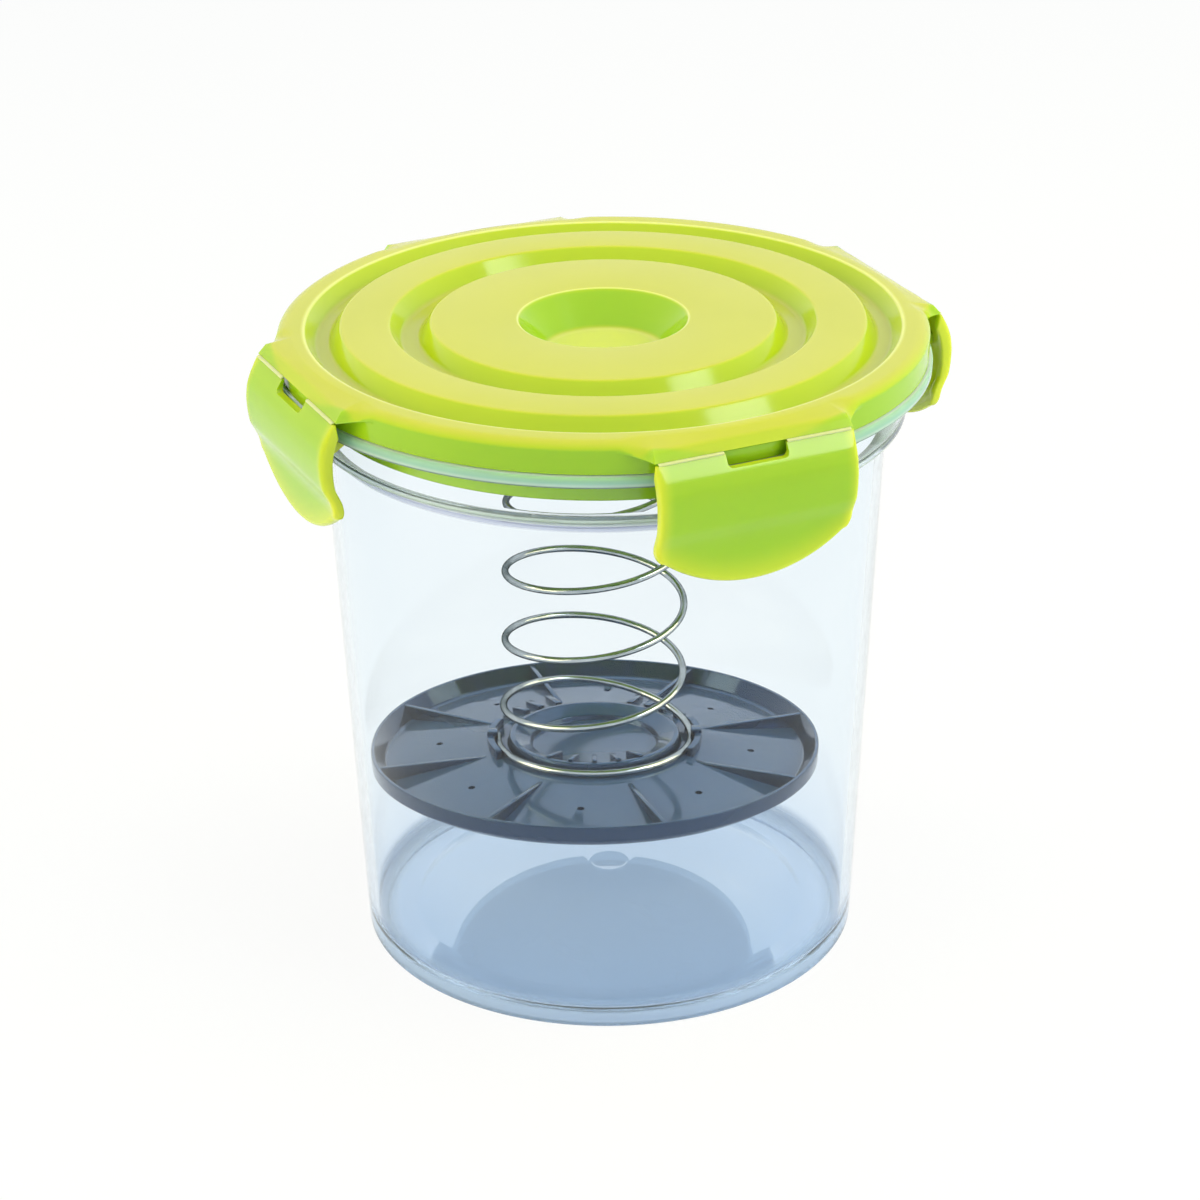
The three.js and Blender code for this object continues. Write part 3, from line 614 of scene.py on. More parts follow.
def ear_reach(azimuth):
    """Distance from the axis to the lid's outside at an azimuth in degrees, ears included."""
    half, end = LATCH_W / 2, LATCH_W / 2 + EAR_BLEND
    ring_edge = math.sqrt(RING_R ** 2 - end ** 2)
    steps = 12
    plan = [(EAR_R, 0.0), (EAR_R, half)]
    for k in range(1, steps + 1):
        t = k / steps
        leave, bend, land = (1 - t) ** 2, 2 * t * (1 - t), t ** 2
        x = leave * EAR_R + bend * (EAR_R - EAR_BLEND_DROP) + land * ring_edge
        plan.append((x, (leave + bend) * half + land * end))
    off = math.radians(from_latch(azimuth))
    for (xa, ya), (xb, yb) in zip(plan, plan[1:]):
        if math.atan2(ya, xa) <= off <= math.atan2(yb, xb):
            c, s = math.cos(off), math.sin(off)
            t = (ya * c - xa * s) / ((xb - xa) * s - (yb - ya) * c)
            return max(RING_R, (xa + t * (xb - xa)) * c + (ya + t * (yb - ya)) * s)
    return RING_R


def lid_azimuths():
    """Azimuths closer together where the ears' corners are."""
    eighth = []
    for low, high, count in ((0, 14, 7), (14, 24, 26), (24, 45, 10)):
        eighth += [low + (high - low) * k / count for k in range(count)]
    eighth.append(45.0)
    quarter = [-a for a in eighth[:0:-1]] + eighth[:-1]
    return [side + a for side in SIDES.values() for a in quarter]


def lid_outside(azimuth):
    """The lid's outer side at an azimuth, from the skirt's foot up to the ring's inner top edge."""
    reach = ear_reach(azimuth)
    stretch = 1.0 - smoothstep(from_latch(azimuth), EAR_CORNER, EAR_END)
    ledge = HINGE_Z + EAR_UNDER + EAR_FADE * (1 - stretch)
    base = ledge + EAR_EDGE
    points = [(RING_R - SKIRT_DRAFT, 0.0), (RING_R - 0.08, ledge - 0.5), (RING_R - 0.07, ledge - 0.05)]
    points += [(reach - 0.07 - 0.28 * stretch, ledge), (reach - 0.05, base)]
    start = RING_R - LID_ROUND
    eased = arc_corners([(reach, base), (reach - EAR_CHAMFER, EAR_CREASE, 0.5), (start - 1.0, RING_TOP)], 4)
    ear = resampled([(reach - 0.05, base)] + eased[1:], ROUND_STEPS + 1)
    for k in range(1, ROUND_STEPS + 1):
        t = math.pi / 2 * k / ROUND_STEPS
        round_x = start + (reach - start) * math.cos(t)
        round_z = base + (RING_TOP - base) * math.sin(t)
        ear_x, ear_z = ear[k]
        points.append((round_x + (ear_x - round_x) * stretch, round_z + (ear_z - round_z) * stretch))
    return points


def make_lid():
    half_wall = LID_WALL / 2
    skirt_in = RING_R - SKIRT_DRAFT - LID_WALL
    seat_out = skirt_in - DRAIN
    plug_in = PLUG_R - PLUG_WALL
    under = PANEL_Z - LID_WALL
    groove_under = GROOVE_Z - LID_WALL
    ring_under = RING_TOP - LID_WALL
    bowl_floor = PANEL_Z - BOWL_DEPTH
    bowl_under = bowl_floor - LID_WALL
    seat_in = BOWL_FOOT + half_wall + BOWL_LEAN * (COIL_SEAT_Z - bowl_under) / BOWL_DEPTH
    seat_edge = seat_in + COIL_SEAT_W
    bottom = arc_corners(
        [
            (0, bowl_under),
            (BOWL_FOOT + half_wall, bowl_under, 2.0),
            (seat_in, COIL_SEAT_Z, 0.4),
            (seat_edge, COIL_SEAT_Z, 0.4),
            (seat_edge, under, 0.4),
            (INNER_PANEL_R - LID_WALL, under, 0.6),
            (INNER_PANEL_R + LEAN - half_wall, groove_under, 0.8),
            (VALLEY_R - LEAN + half_wall, groove_under, 0.8),
            (VALLEY_R + LID_WALL, under, 0.6),
            (OUTER_PANEL_R - LID_WALL, under, 0.6),
            (OUTER_PANEL_R + LEAN - half_wall, groove_under, 0.8),
            (plug_in, groove_under, 0.6),
            (plug_in - PLUG_DRAFT, -PLUG_DEPTH, 0.4),
            (PLUG_R - PLUG_DRAFT, -PLUG_DEPTH, 0.7),
            (PLUG_R, groove_under, 0.4),
            (seat_out, groove_under, 0.3),
            (seat_out, ring_under, 0.4),
            (skirt_in, ring_under, 0.6),
            (skirt_in, 0.0, 0.3),
            (RING_R - SKIRT_DRAFT, 0.0),
        ],
        4,
    )
    top = arc_corners(
        [
            (RING_R - LID_ROUND - 1.0, RING_TOP),
            (RING_IN, RING_TOP, 0.9),
            (RING_IN - LEAN, GROOVE_Z, 1.4),
            (OUTER_PANEL_R + LEAN, GROOVE_Z, 1.4),
            (OUTER_PANEL_R, PANEL_Z, 0.9),
            (VALLEY_R, PANEL_Z, 0.9),
            (VALLEY_R - LEAN, GROOVE_Z, 1.6),
            (INNER_PANEL_R + LEAN, GROOVE_Z, 1.6),
            (INNER_PANEL_R, PANEL_Z, 0.9),
            (BOWL_R, PANEL_Z, 0.8),
            (BOWL_FOOT, bowl_floor, 2.4),
            (0, bowl_floor),
        ],
        5,
    )
    azimuths = lid_azimuths()
    turns = [math.radians(a) for a in azimuths]
    rings = [circle(radius, z + LID_Z, turns) for radius, z in bottom[:-1]]
    for level in zip(*[lid_outside(a) for a in azimuths]):
        rings.append([(r * math.cos(a), r * math.sin(a), z + LID_Z) for (r, z), a in zip(level, turns)])
    rings += [circle(radius, z + LID_Z, turns) for radius, z in top[1:]]
    bm = bmesh.new()
    grid_mesh(bm, rings, False)
    coil_start = HANG_AZ + 180 + (FOOT_TURNS + ACTIVE) * 360
    for step in LID_HOOK_STEPS:
        lid_hook(bm, math.radians(coil_start + step))
    obj = made_object(bm, "jar_lid", 42)
    dress(obj, LIME, "lime_plastic", "lid", "lid_shell")


def lid_hook(bm, azimuth):
    """One hook under the lid that holds the spring's top coil."""
    coil_edge = SPRING_R + WIRE_R + SEAT_GAP
    coil_bottom = SPRING_TOP - LID_Z - WIRE_R - SEAT_GAP
    outer = coil_edge + LID_HOOK_WALL
    root = PANEL_Z - LID_WALL + LID_HOOK_ROOT
    side = [
        (SPRING_R, coil_bottom - LID_HOOK_LIP),
        (coil_edge, coil_bottom - LID_HOOK_WALL),
        (outer, coil_bottom - LID_HOOK_WALL),
        (outer, root),
        (coil_edge, root),
        (coil_edge, coil_bottom),
        (SPRING_R, coil_bottom),
    ]
    c, s = math.cos(azimuth), math.sin(azimuth)

    def place(x, z, y):
        return (x * c - y * s, x * s + y * c, z + LID_Z)

    faces = prism(bm, side, -LID_HOOK_W / 2, LID_HOOK_W / 2, place)
    bevelled(bm, faces, 0.2, 2)


def make_gasket():
    width, lip, seam = 3.6, 0.4, 0.1
    inner = PLUG_R + SEAT_GAP
    outer = inner + width
    top = GROOVE_Z - LID_WALL - SEAT_GAP
    outline = arc_corners(
        [
            (inner + seam, 0.0),
            (outer, 0.0, 0.15),
            (outer, top, 0.15),
            (outer - lip, top, 0.1),
            (outer - 2 * lip, top - lip, 0.1),
            (inner + 2 * lip, top - lip, 0.1),
            (inner + lip, top, 0.1),
            (inner, top, 0.1),
            (inner, 0.0, 0.1),
            (inner + seam, 0.0),
        ],
        3,
    )
    bm = bmesh.new()
    revolve(bm, outline[:-1], 160, True, LID_Z)
    obj = made_object(bm, "lid_seal", 40)
    dress(obj, RUBBER, "seal_rubber", "lid", "lid_gasket")


# Latches

BULGE = 3.7
FACE_SHARES = [(0, 0.02), (0.05, 0.3), (0.12, 0.66), (0.2, 0.9), (0.3, 1), (0.4, 0.96), (0.5, 0.83)]
FACE_SHARES += [(0.62, 0.3), (0.7, 0.15), (1, 0.15)]
LATCH_SIDE, LATCH_CORNER, LATCH_START = 22.5, 2.3, 0.15
LATCH_ROOT, LATCH_WALL, BORDER_TOP, BORDER_TIP, ROOT_FADE = 0.65, 2.0, 3.7, 2.0, 3.7
FRONT_EDGE, BACK_EDGE = 1.3, 0.45
LATCH_COLUMNS, LATCH_ROWS = 27, 46
SLOT_HALF, SLOT_H, SLOT_CORNER = 7.75, 3.1, 1.3
HOOK_HALF, HOOK_H, HOOK_REACH, HOOK_DRAFT = 18.5, 2.6, 2.4, 0.9
WEB_STRIPS = ((-24.2, -8.0), (8.0, 24.2))


def smooth_face():
    """The face's outline with its corners eased, as (share of length, share of bulge)."""
    count, half = 241, 10
    xs = np.linspace(0, 1, count)
    ys = np.interp(xs, [a for a, _ in FACE_SHARES], [b for _, b in FACE_SHARES])
    kernel = np.hanning(2 * half + 1)
    kernel /= kernel.sum()
    padded = np.concatenate([2 * ys[0] - ys[half:0:-1], ys, np.full(half, ys[-1])])
    return xs, np.convolve(padded, kernel, "valid")


FACE_X, FACE_Y = smooth_face()


def face_out(depth):
    """How far the face stands out from the hinge line at a depth below it."""
    return BULGE * float(np.interp(depth / LATCH_L, FACE_X, FACE_Y))


def latch_tip(y):
    """How far down the latch goes at a distance from its middle line."""
    half = LATCH_W / 2
    sag = LATCH_L - LATCH_SIDE
    radius = half ** 2 / (2 * sag) + sag / 2
    y = abs(y)
    if y <= half - LATCH_CORNER:
        return LATCH_L - radius + math.sqrt(radius ** 2 - y ** 2)
    low = LATCH_L - radius + math.sqrt(radius ** 2 - (half - LATCH_CORNER) ** 2)
    high = LATCH_SIDE - LATCH_CORNER
    t = min(1.0, (y - half + LATCH_CORNER) / LATCH_CORNER)
    return high + (low - high) * math.sqrt(max(0.0, 1 - t ** 2.2))


def tip_square(y):
    """How square to the depth the tip's border runs: 1 square, less where it slants."""
    step = 0.3
    if abs(y) <= 1:
        return 1.0
    fall = (latch_tip(abs(y) - step) - latch_tip(y)) / step
    return max(0.45, 1.0 / math.sqrt(1 + fall ** 2))


def edge_drop(distance, radius):
    """How far a rounded edge falls back at a distance from the border."""
    if distance >= radius:
        return 0.0
    return radius - math.sqrt(max(0.0, radius ** 2 - (radius - distance) ** 2))


def latch_thickness(depth, inset):
    """Thickness behind the face at a depth and a distance from the border."""
    grown = min(1.0, depth / ROOT_FADE)
    wall = LATCH_ROOT + (LATCH_WALL - LATCH_ROOT) * grown
    full = BORDER_TOP + (BORDER_TIP - BORDER_TOP) * depth / LATCH_L
    border = LATCH_ROOT + (full - LATCH_ROOT) * grown
    return border + (wall - border) * smoothstep(inset, 1.5, 2.4)


def latch_mesh(bm):
    """Front and back skins over one grid, joined round their border; hinge line on Y, hanging down."""
    half = LATCH_W / 2
    columns = range(-LATCH_COLUMNS, LATCH_COLUMNS + 1)
    shares = [0.5 - 0.5 * math.cos(math.pi * k / LATCH_ROWS) for k in range(LATCH_ROWS + 1)]
    front, back = [], []
    for column in columns:
        y = half * math.sin(math.pi / 2 * column / LATCH_COLUMNS)
        tip = latch_tip(y)
        square = tip_square(y)
        front_row, back_row = [], []
        for share in shares:
            depth = LATCH_START + (tip - LATCH_START) * share
            inset = min(half - abs(y), (tip - depth) * square)
            out = face_out(depth)
            round_edge = FRONT_EDGE * min(1.0, 0.35 + depth / 6.0)
            behind = out - latch_thickness(depth, inset) + edge_drop(inset, BACK_EDGE)
            front_row.append((out - edge_drop(inset, round_edge), y, -depth))
            back_row.append((behind, y, -depth))
        front.append(front_row)
        back.append(back_row)
    skins = [[[bm.verts.new(Vector(p) * MM) for p in row] for row in rows] for rows in (front, back)]
    joined_skins(bm, *skins)


def slot_cutter():
    """The window under the hinge line, with round lower corners."""
    above, through, steps = 1.0, 12, 6
    points = [(-SLOT_HALF, above)]
    for centre, begin in ((-SLOT_HALF + SLOT_CORNER, math.pi), (SLOT_HALF - SLOT_CORNER, 1.5 * math.pi)):
        for k in range(steps + 1):
            a = begin + math.pi / 2 * k / steps
            low = SLOT_CORNER - SLOT_H
            points.append((centre + SLOT_CORNER * math.cos(a), low + SLOT_CORNER * math.sin(a)))
    points.append((SLOT_HALF, above))
    bm = bmesh.new()
    prism(bm, points, -through, through, lambda y, z, x: (x, y, z))
    return made_object(bm, "slot_cutter")


def latch_hook(bm):
    """The hook under the flange, with an inner edge that follows the flange's round."""
    inner = FLANGE_R - HOOK_REACH
    top = RIM_Z - FLANGE_T - SEAT_GAP - LID_Z - HINGE_Z
    root = HINGE_R + face_out(-top + HOOK_H) - 1.0
    count = 24
    rings = []
    for k in range(count + 1):
        y = -HOOK_HALF + 2 * HOOK_HALF * k / count
        x = math.sqrt(inner ** 2 - y ** 2)
        side = [
            (root, top),
            (x + 0.25, top),
            (x, top - 0.3),
            (x, top - HOOK_DRAFT),
            (x + 2.4, top - HOOK_H + 0.15),
            (x + 3.0, top - HOOK_H),
            (root, top - HOOK_H),
        ]
        rings.append([bm.verts.new(Vector((at - HINGE_R, y, z)) * MM) for at, z in side])
    capped_tube(bm, rings)


def paint_border_glow(mesh):
    """Writes the latch border's painted light at each point as a point attribute: a painted yellow glow along
    thin borders, and a painted lift on the back skin, which lies in shade.
    """
    side_width, tip_width, behind_lit = 3.4, 8.0, 0.8
    values = []
    for vertex in mesh.vertices:
        y, depth = vertex.co.y / MM, -vertex.co.z / MM
        side = max(0.0, 1 - (LATCH_W / 2 - abs(y)) / side_width)
        low = max(0.0, 1 - (latch_tip(y) - depth) / tip_width)
        front = 1 - smoothstep(face_out(depth) - vertex.co.x / MM, 0.5, 1.9)
        lit = min(1.0, 0.85 * side ** 1.3 + 0.8 * low ** 1.5)
        values.append(behind_lit * (1 - front) + front * lit)
    attribute = mesh.attributes.new("painted_border_glow", "FLOAT", "POINT")
    attribute.data.foreach_set("value", values)


def make_latches():
    bm = bmesh.new()
    latch_mesh(bm)
    plain = made_object(bm, "latch_plain", 35)
    bm = cut_away(plain, slot_cutter())
    latch_hook(bm)
    mesh = finish_mesh(bm, "latch")
    paint_border_glow(mesh)
    for side, azimuth in SIDES.items():
        own = mesh.copy()
        turn = Matrix.Rotation(math.radians(azimuth), 4, "Z")
        own.transform(turn @ Matrix.Translation(Vector((HINGE_R, 0, LID_Z + HINGE_Z)) * MM))
        obj = new_object(f"clip_{side}", own, 35)
        dress(obj, LIME, "lime_plastic", f"latch_{side}", f"latch_{side}")
        make_web(side, azimuth)


def web_rise(x):
    """How the web climbs onto the ear and falls onto the latch, by the distance from the hinge line."""
    return (0.12 if x < -0.4 else 0.0) - 0.16 * max(0.0, x) / 0.3


def make_web(side, azimuth):
    """The thin living hinge between an ear and its latch, on both sides of the window."""
    turn = Matrix.Rotation(math.radians(azimuth), 4, "Z")
    steps = 12
    bm = bmesh.new()
    for low, high in WEB_STRIPS:
        ys = [low + (high - low) * k / steps for k in range(steps + 1)]
        skins = []
        for lift in (0.36, 0.06):
            skin = []
            for x in (-0.55, -0.3, -0.15, 0.0, 0.15, 0.3):
                z = LID_Z + HINGE_Z + lift + web_rise(x)
                skin.append([bm.verts.new(turn @ (Vector((HINGE_R + x, y, z)) * MM)) for y in ys])
            skins.append(skin)
        joined_skins(bm, *skins)
    mesh = finish_mesh(bm, f"hinge_web_{side}")
    # Marks the whole web for the painted pale highlight of the lime material.
    attribute = mesh.attributes.new("painted_hinge_highlight", "FLOAT", "POINT")
    attribute.data.foreach_set("value", [1.0] * len(mesh.vertices))
    obj = new_object(f"hinge_web_{side}", mesh, 40)
    dress(obj, LIME, "lime_plastic", None)
    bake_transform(obj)


# Spring

COIL_BLEND, TILT_BLEND = 0.75, 0.35
TURN_STEPS, WIRE_SIDES = 56, 14
DEGREE = 1 / 360


def spring_point(turn):
    """The wire's middle line, counted in turns from the bottom coil's free end."""
    climbed = max(0.0, min(1.0, (turn - FOOT_TURNS) / ACTIVE))
    slim = smoothstep(turn, FOOT_TURNS, FOOT_TURNS + COIL_BLEND)
    level = smoothstep(turn, FOOT_TURNS, FOOT_TURNS + TILT_BLEND)
    angle = math.pi + turn * 2 * math.pi
    radius = FOOT_COIL_R + (SPRING_R - FOOT_COIL_R) * slim
    x = radius * math.cos(angle) - HANG_OFF * (1 - climbed ** 2)
    y = radius * math.sin(angle)
    tilt = y * math.tan(math.radians(HANG_TILT)) * (1 - level)
    z = SPRING_BOTTOM + climbed * (SPRING_TOP - SPRING_BOTTOM) - tilt
    return Matrix.Rotation(math.radians(HANG_AZ), 3, "Z") @ Vector((x, y, z))


def spring_path(low, high):
    count = round((high - low) * TURN_STEPS)
    return [spring_point(low + (high - low) * k / count) for k in range(count + 1)]


def wire_tail(inner, end):
    """The wire's straight end, one diameter past a coil's last point."""
    return end + (end - inner).normalized() * 2 * WIRE_R


def make_wire(name, path, *ride):
    """A piece of round wire along a path; ride holds its body and the CAD node that it replaces."""
    last = len(path) - 1
    bm = bmesh.new()
    rings = []
    for i, point in enumerate(path):
        tangent = (path[min(i + 1, last)] - path[max(i - 1, 0)]).normalized()
        side = Vector((tangent.y, -tangent.x, 0)).normalized()
        up = side.cross(tangent).normalized()
        spokes = [side * WIRE_R * math.cos(a) + up * WIRE_R * math.sin(a) for a in full_turn(WIRE_SIDES)]
        rings.append([bm.verts.new((point + arm) * MM) for arm in spokes])
    capped_tube(bm, rings)
    obj = made_object(bm, name, 50)
    dress(obj, STEEL, "spring_steel", *ride)
    return obj


def make_spring():
    total = FOOT_TURNS + ACTIVE + TOP_TURNS
    foot = spring_path(0, FOOT_TURNS)
    foot.insert(0, wire_tail(spring_point(DEGREE), foot[0]))
    make_wire("spring_foot_coil", foot, "press_plate")
    coil = spring_path(FOOT_TURNS, total)
    coil.append(wire_tail(spring_point(total - DEGREE), coil[-1]))
    obj = make_wire("spring_coil", coil, "lid", "pressure_spring")
    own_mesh(obj)


# Press plate; its heights count from its underside

PLATE_T, PLATE_RISE, PLATE_GAP, PLATE_RIM_Z, PLATE_RIM_W, PLATE_LEAN = 1.4, 3.3, 1.7, 5.4, 0.9, 3.0
PLATE_BEVEL, PLATE_BEVEL_Z, PLATE_DRAFT = 2.2, 1.5, 0.225
SEAT_Z = PLATE_T + PLATE_RISE
SEAT_EDGE = FOOT_COIL_R + 1.5
COIL_EDGE = FOOT_COIL_R + WIRE_R + SEAT_GAP
PLATE_BASE = SPRING_BOTTOM - WIRE_R - SEAT_GAP - SEAT_Z
PLATE_R = FOOT_R + TAPER * PLATE_BASE - WALL - HANG_OFF - PLATE_GAP
FLOOR_EDGE = PLATE_R - PLATE_RIM_W - PLATE_LEAN
HUB_R, HUB_RIDGE, HUB_SLOPE, WELL_DRAFT = FOOT_COIL_R - 3.0, 1.2, 4.1, 0.4
RIDGE_IN = HUB_R - HUB_RIDGE
STEP_R = RIDGE_IN - HUB_SLOPE
WELL_R = STEP_R - WELL_DRAFT
HUB_Z = SEAT_Z + 2.5
STEP_Z = HUB_Z - 1.8
WELL_Z = STEP_Z - 1.4
SUNK = 0.7
FIN_TURN, FIN_COUNT, FIN_W, FIN_INSET, FIN_DROP = -5, 8, 1.3, 4.0, 0.3
HOLE_INSET, HOLE_R, HOLE_STEPS = 17.3, 0.9, 20
STOP_RIBS = ((21, 9.5), (32, 8.0), (42, 6.5), (54, 4.2))
STOP_RIB_W, STOP_RIB_H = 1.7, 1.2
HUB_RIB_ANGLES = (-124, -107, -90, -73, -56)
HUB_RIB_L, HUB_RIB_W, HUB_RIB_H = 6.0, 1.3, 0.8
CLIP_W, CLIP_WALL, CLIP_LIP, CLIP_HALF_ARC, CLIP_STEPS = 3.2, 1.5, 1.0, 25, 14


def plate_floor(radius):
    """Height of the plate's sloping floor at a radius."""
    share = (radius - SEAT_EDGE) / (FLOOR_EDGE - SEAT_EDGE)
    return SEAT_Z - PLATE_RISE * share


def plate_body():
    """The dish with its rim, seat and stepped hub, turned round the axis."""
    outline = arc_corners(
        [
            (0, WELL_Z - PLATE_T),
            (WELL_R + PLATE_T / 2, WELL_Z - PLATE_T, 0.4),
            (STEP_R + PLATE_T / 2, STEP_Z - PLATE_T, 0.4),
            (RIDGE_IN - PLATE_T / 2, HUB_Z - PLATE_T * 1.5, 0.4),
            (HUB_R - PLATE_T, SEAT_Z - PLATE_T, 0.3),
            (SEAT_EDGE, SEAT_Z - PLATE_T, 1.0),
            (FLOOR_EDGE, 0, 0.6),
            (PLATE_R - PLATE_BEVEL, 0, 0.8),
            (PLATE_R - PLATE_DRAFT, PLATE_BEVEL_Z, 0.8),
            (PLATE_R, PLATE_RIM_Z, 0.35),
            (PLATE_R - PLATE_RIM_W, PLATE_RIM_Z, 0.35),
            (FLOOR_EDGE, PLATE_T, 1.6),
            (SEAT_EDGE, SEAT_Z, 2.0),
            (HUB_R + 0.5, SEAT_Z, 0.35),
            (HUB_R, HUB_Z, 0.5),
            (RIDGE_IN, HUB_Z, 0.5),
            (STEP_R, STEP_Z, 0.7),
            (WELL_R, WELL_Z, 0.4),
            (0, WELL_Z),
        ],
        4,
    )
    bm = bmesh.new()
    revolve(bm, outline, 192)
    return made_object(bm, "plate_plain")


def plate_drills():
    """Round cutters for the drain holes, one between each pair of fins."""
    below, above = -3, 9
    bm = bmesh.new()
    for k in range(FIN_COUNT):
        azimuth = math.radians(FIN_TURN + 360 / FIN_COUNT * k)
        x, y = (PLATE_R - HOLE_INSET) * math.cos(azimuth), (PLATE_R - HOLE_INSET) * math.sin(azimuth)
        disc = [(x + HOLE_R * math.cos(a), y + HOLE_R * math.sin(a)) for a in full_turn(HOLE_STEPS)]
        prism(bm, disc, below, above)
    return made_object(bm, "drills")


def spoke(bm, points, azimuth, width, bevel):
    """A flat rib of (radius, height) points, set at an azimuth in degrees."""
    a = math.radians(azimuth)
    c, s = math.cos(a), math.sin(a)
    faces = prism(bm, points, -width / 2, width / 2, lambda x, z, y: (x * c - y * s, x * s + y * c, z))
    bevelled(bm, faces, bevel, 3)


def plate_fins(bm):
    start = FOOT_COIL_R + FIN_INSET
    fin = [
        (start, plate_floor(start)),
        (start, plate_floor(start) - SUNK),
        (FLOOR_EDGE, PLATE_T - SUNK),
        (PLATE_R - PLATE_RIM_W, PLATE_RIM_Z - FIN_DROP),
    ]
    for k in range(FIN_COUNT):
        spoke(bm, fin, FIN_TURN + 360 / FIN_COUNT * (k + 0.5), FIN_W, 0.22)


def plate_stop_ribs(bm):
    for angle, reach in STOP_RIBS:
        outer = FOOT_COIL_R + reach
        rib = [
            (COIL_EDGE, SEAT_Z - SUNK),
            (SEAT_EDGE, SEAT_Z - SUNK),
            (outer, plate_floor(outer) - SUNK),
            (outer, plate_floor(outer) + STOP_RIB_H),
            (COIL_EDGE, SEAT_Z + STOP_RIB_H),
        ]
        for side in (-1, 1):
            spoke(bm, rib, 90 + side * angle, STOP_RIB_W, 0.55)


def plate_hub_ribs(bm):
    outer = HUB_R - HUB_RIDGE / 2
    inner = outer - HUB_RIB_L
    rib = [
        (inner, WELL_Z - SUNK),
        (WELL_R, WELL_Z - SUNK),
        (STEP_R, STEP_Z - SUNK),
        (RIDGE_IN, HUB_Z - SUNK),
        (outer, HUB_Z - SUNK),
        (outer, HUB_Z + HUB_RIB_H),
        (inner, HUB_Z),
    ]
    for azimuth in HUB_RIB_ANGLES:
        spoke(bm, rib, azimuth, HUB_RIB_W, 0.4)


def plate_clips(bm):
    """Two hooked posts, each with a curved wall, that hold the spring's foot coil."""
    coil_top = SEAT_Z + 2 * SEAT_GAP + 2 * WIRE_R
    outer = COIL_EDGE + CLIP_WALL
    post = [
        (COIL_EDGE, SEAT_Z - SUNK),
        (outer, SEAT_Z - SUNK),
        (outer, coil_top + CLIP_LIP),
        (FOOT_COIL_R, coil_top + CLIP_LIP),
        (FOOT_COIL_R, coil_top),
        (COIL_EDGE, coil_top),
    ]
    for azimuth in (0, 180):
        spoke(bm, post, azimuth, CLIP_W, 0.25)
        arc = []
        for radius, order in ((outer, 1), (COIL_EDGE, -1)):
            for i in range(-CLIP_STEPS, CLIP_STEPS + 1):
                a = math.radians(azimuth + order * CLIP_HALF_ARC * i / CLIP_STEPS)
                arc.append((radius * math.cos(a), radius * math.sin(a)))
        faces = prism(bm, arc, SEAT_Z - SUNK, coil_top)
        bevelled(bm, [faces[1]], 0.25, 2)


def make_plate():
    bm = cut_away(plate_body(), plate_drills())
    plate_fins(bm)
    plate_stop_ribs(bm)
    plate_hub_ribs(bm)
    plate_clips(bm)
    mesh = finish_mesh(bm, "jar_press_plate")
    place = Matrix.Rotation(math.radians(HANG_AZ), 4, "Z")
    place = place @ Matrix.Translation(Vector((-HANG_OFF, 0, SPRING_BOTTOM)) * MM)
    place = place @ Matrix.Rotation(-math.radians(HANG_TILT), 4, "X")
    place = place @ Matrix.Translation(Vector((0, 0, PLATE_BASE - SPRING_BOTTOM)) * MM)
    mesh.transform(place)
    obj = new_object("jar_press_plate", mesh, 32)
    dress(obj, SLATE, "slate_plastic", "press_plate", "press_plate")


# Studio

PHOTO_WIDTH, FOCAL_PIXELS, SENSOR_MM = 1200.0, 3616.4, 36.0
CAMERA_PLACE = (0, -0.81993, 0.46677)
CAMERA_YAW, CAMERA_PITCH, CAMERA_ROLL, PHOTO_TURN = -0.110, 24.873, -0.683, -25.1
LAMP_AIM = (0, 0, 0.09)
FILL_COLOUR, FILL_STRENGTH = (0.84, 0.96, 1.0), 0.50
FLOOR_COLOUR, FLOOR_GLOW, FLOOR_DEPTH = (0.88, 0.94, 1.0), 0.88, -0.05


def make_camera():
    """The photograph's view: fitted focal length, place and tilt, turned into the row frame."""
    yaw, pitch, roll = (math.radians(angle) for angle in (CAMERA_YAW, CAMERA_PITCH, CAMERA_ROLL))
    forward = Vector((math.sin(yaw) * math.cos(pitch), math.cos(yaw) * math.cos(pitch), -math.sin(pitch)))
    level = Vector((math.cos(yaw), -math.sin(yaw), 0))
    upward = level.cross(forward)
    right = level * math.cos(roll) + upward * math.sin(roll)
    up = upward * math.cos(roll) - level * math.sin(roll)
    turn = Matrix.Rotation(math.radians(PHOTO_TURN), 3, "Z")
    axes = Matrix((turn @ right, turn @ up, turn @ -forward)).transposed()
    camera = bpy.data.cameras.new("camera")
    camera.sensor_width = SENSOR_MM
    camera.lens = SENSOR_MM * FOCAL_PIXELS / PHOTO_WIDTH
    camera.clip_end = 30.0
    obj = bpy.data.objects.new("camera", camera)
    bpy.context.scene.collection.objects.link(obj)
    obj.matrix_world = Matrix.Translation(turn @ Vector(CAMERA_PLACE)) @ axes.to_4x4()
    bpy.context.scene.camera = obj


def seen_directly(tree):
    """1 for rays from the camera, mirrors and glass, and 0 for light on the object."""
    path = tree.nodes.new("ShaderNodeLightPath")
    seen = path.outputs["Is Camera Ray"]
    for name in ("Is Glossy Ray", "Is Transmission Ray"):
        either = tree.nodes.new("ShaderNodeMath")
        either.operation = "MAXIMUM"
        tree.links.new(seen, either.inputs[0])
        tree.links.new(path.outputs[name], either.inputs[1])
        seen = either.outputs[0]
    return seen


def empty_tree(owner):
    owner.use_nodes = True
    owner.node_tree.nodes.clear()
    return owner.node_tree


def plain_shader(tree, kind, colour, strength=None):
    node = tree.nodes.new(kind)
    node.inputs["Color"].default_value = (*colour, 1)
    if strength is not None:
        node.inputs["Strength"].default_value = strength
    return node.outputs[0]


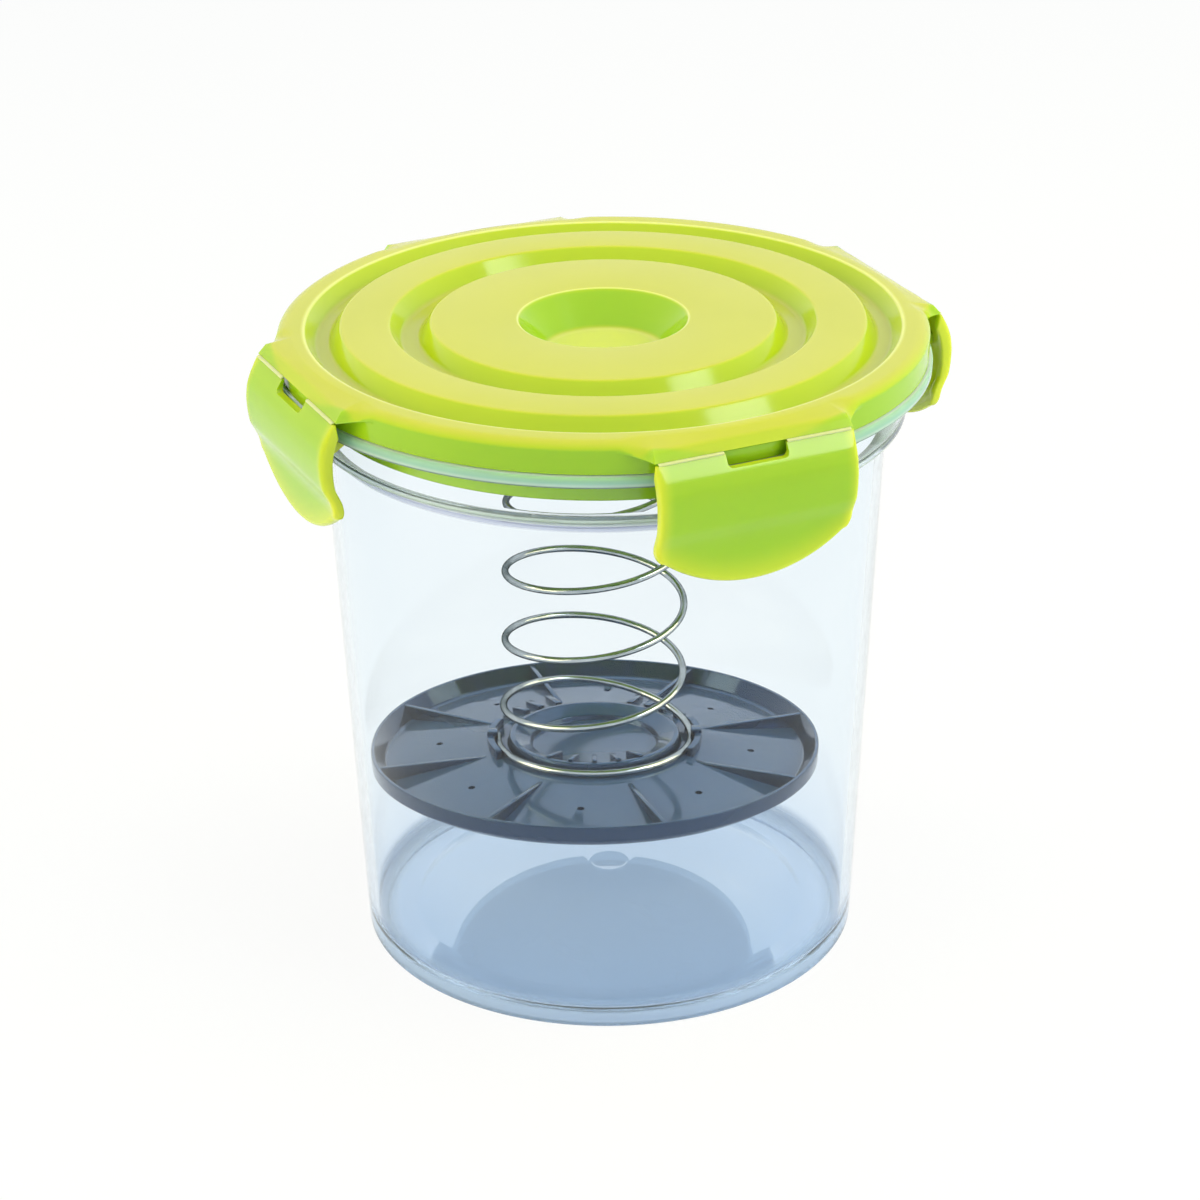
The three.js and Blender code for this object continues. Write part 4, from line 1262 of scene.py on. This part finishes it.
def show_mix(tree, output_kind, share, first, second):
    """Puts the first shader on the surface, and the second in its place by a share."""
    output = tree.nodes.new(output_kind)
    mix = tree.nodes.new("ShaderNodeMixShader")
    for source, target in zip((share, first, second), mix.inputs):
        tree.links.new(source, target)
    tree.links.new(mix.outputs[0], output.inputs["Surface"])


def make_world():
    """A soft fill light that is seen as plain white."""
    world = bpy.data.worlds.new("studio")
    bpy.context.scene.world = world
    tree = empty_tree(world)
    fill = plain_shader(tree, "ShaderNodeBackground", FILL_COLOUR, FILL_STRENGTH)
    shown = plain_shader(tree, "ShaderNodeBackground", (1, 1, 1), 1.0)
    show_mix(tree, "ShaderNodeOutputWorld", seen_directly(tree), fill, shown)


def make_floor():
    """A plain pale floor that shows mostly white and keeps the object's shadow."""
    mesh = bpy.data.meshes.new("studio_floor")
    bm = bmesh.new()
    revolve(bm, [(radius, FLOOR_DEPTH) for radius in (0, 300, 900, 6000)], 64)
    bm.to_mesh(mesh)
    bm.free()
    obj = bpy.data.objects.new("studio_floor", mesh)
    bpy.context.scene.collection.objects.link(obj)
    material = bpy.data.materials.new("studio_floor")
    tree = empty_tree(material)
    plain = plain_shader(tree, "ShaderNodeBsdfDiffuse", FLOOR_COLOUR)
    glow = plain_shader(tree, "ShaderNodeEmission", (1, 1, 1), 1.0)
    share = tree.nodes.new("ShaderNodeMath")
    share.operation = "MULTIPLY"
    share.inputs[1].default_value = FLOOR_GLOW
    tree.links.new(seen_directly(tree), share.inputs[0])
    show_mix(tree, "ShaderNodeOutputMaterial", share.outputs[0], plain, glow)
    obj.data.materials.append(material)


def soft_lamp(name, place, size, power, colour, mirrored=False):
    """A rectangular lamp that looks at the jar; only a mirrored one shows in reflections."""
    lamp = bpy.data.lights.new(name, "AREA")
    lamp.shape = "RECTANGLE"
    lamp.size, lamp.size_y = size
    lamp.energy = power
    lamp.color = colour
    obj = bpy.data.objects.new(name, lamp)
    bpy.context.scene.collection.objects.link(obj)
    obj.location = place
    aim = Vector(LAMP_AIM) - Vector(place)
    obj.rotation_euler = aim.to_track_quat("-Z", "Y").to_euler()
    obj.visible_glossy = mirrored


bpy.context.scene.view_settings.view_transform = "Standard"
make_container()
make_lid()
make_gasket()
make_latches()
make_spring()
make_plate()
make_camera()
make_world()
make_floor()
soft_lamp("lamp_top", (0.15, 0.10, 1.25), (1.0, 0.8), 4.2, (1.0, 0.96, 0.88))
soft_lamp("lamp_left", (-1.15, 0.20, 0.70), (1.1, 1.1), 13.0, (1.0, 0.80, 0.40))
soft_lamp("lamp_right", (0.95, -0.50, 0.70), (1.1, 1.1), 9.5, (1.0, 0.81, 0.38))
soft_lamp("lamp_front", (0.80, -1.05, 1.02), (0.65, 0.5), 5.0, (0.96, 1.0, 0.98), True)
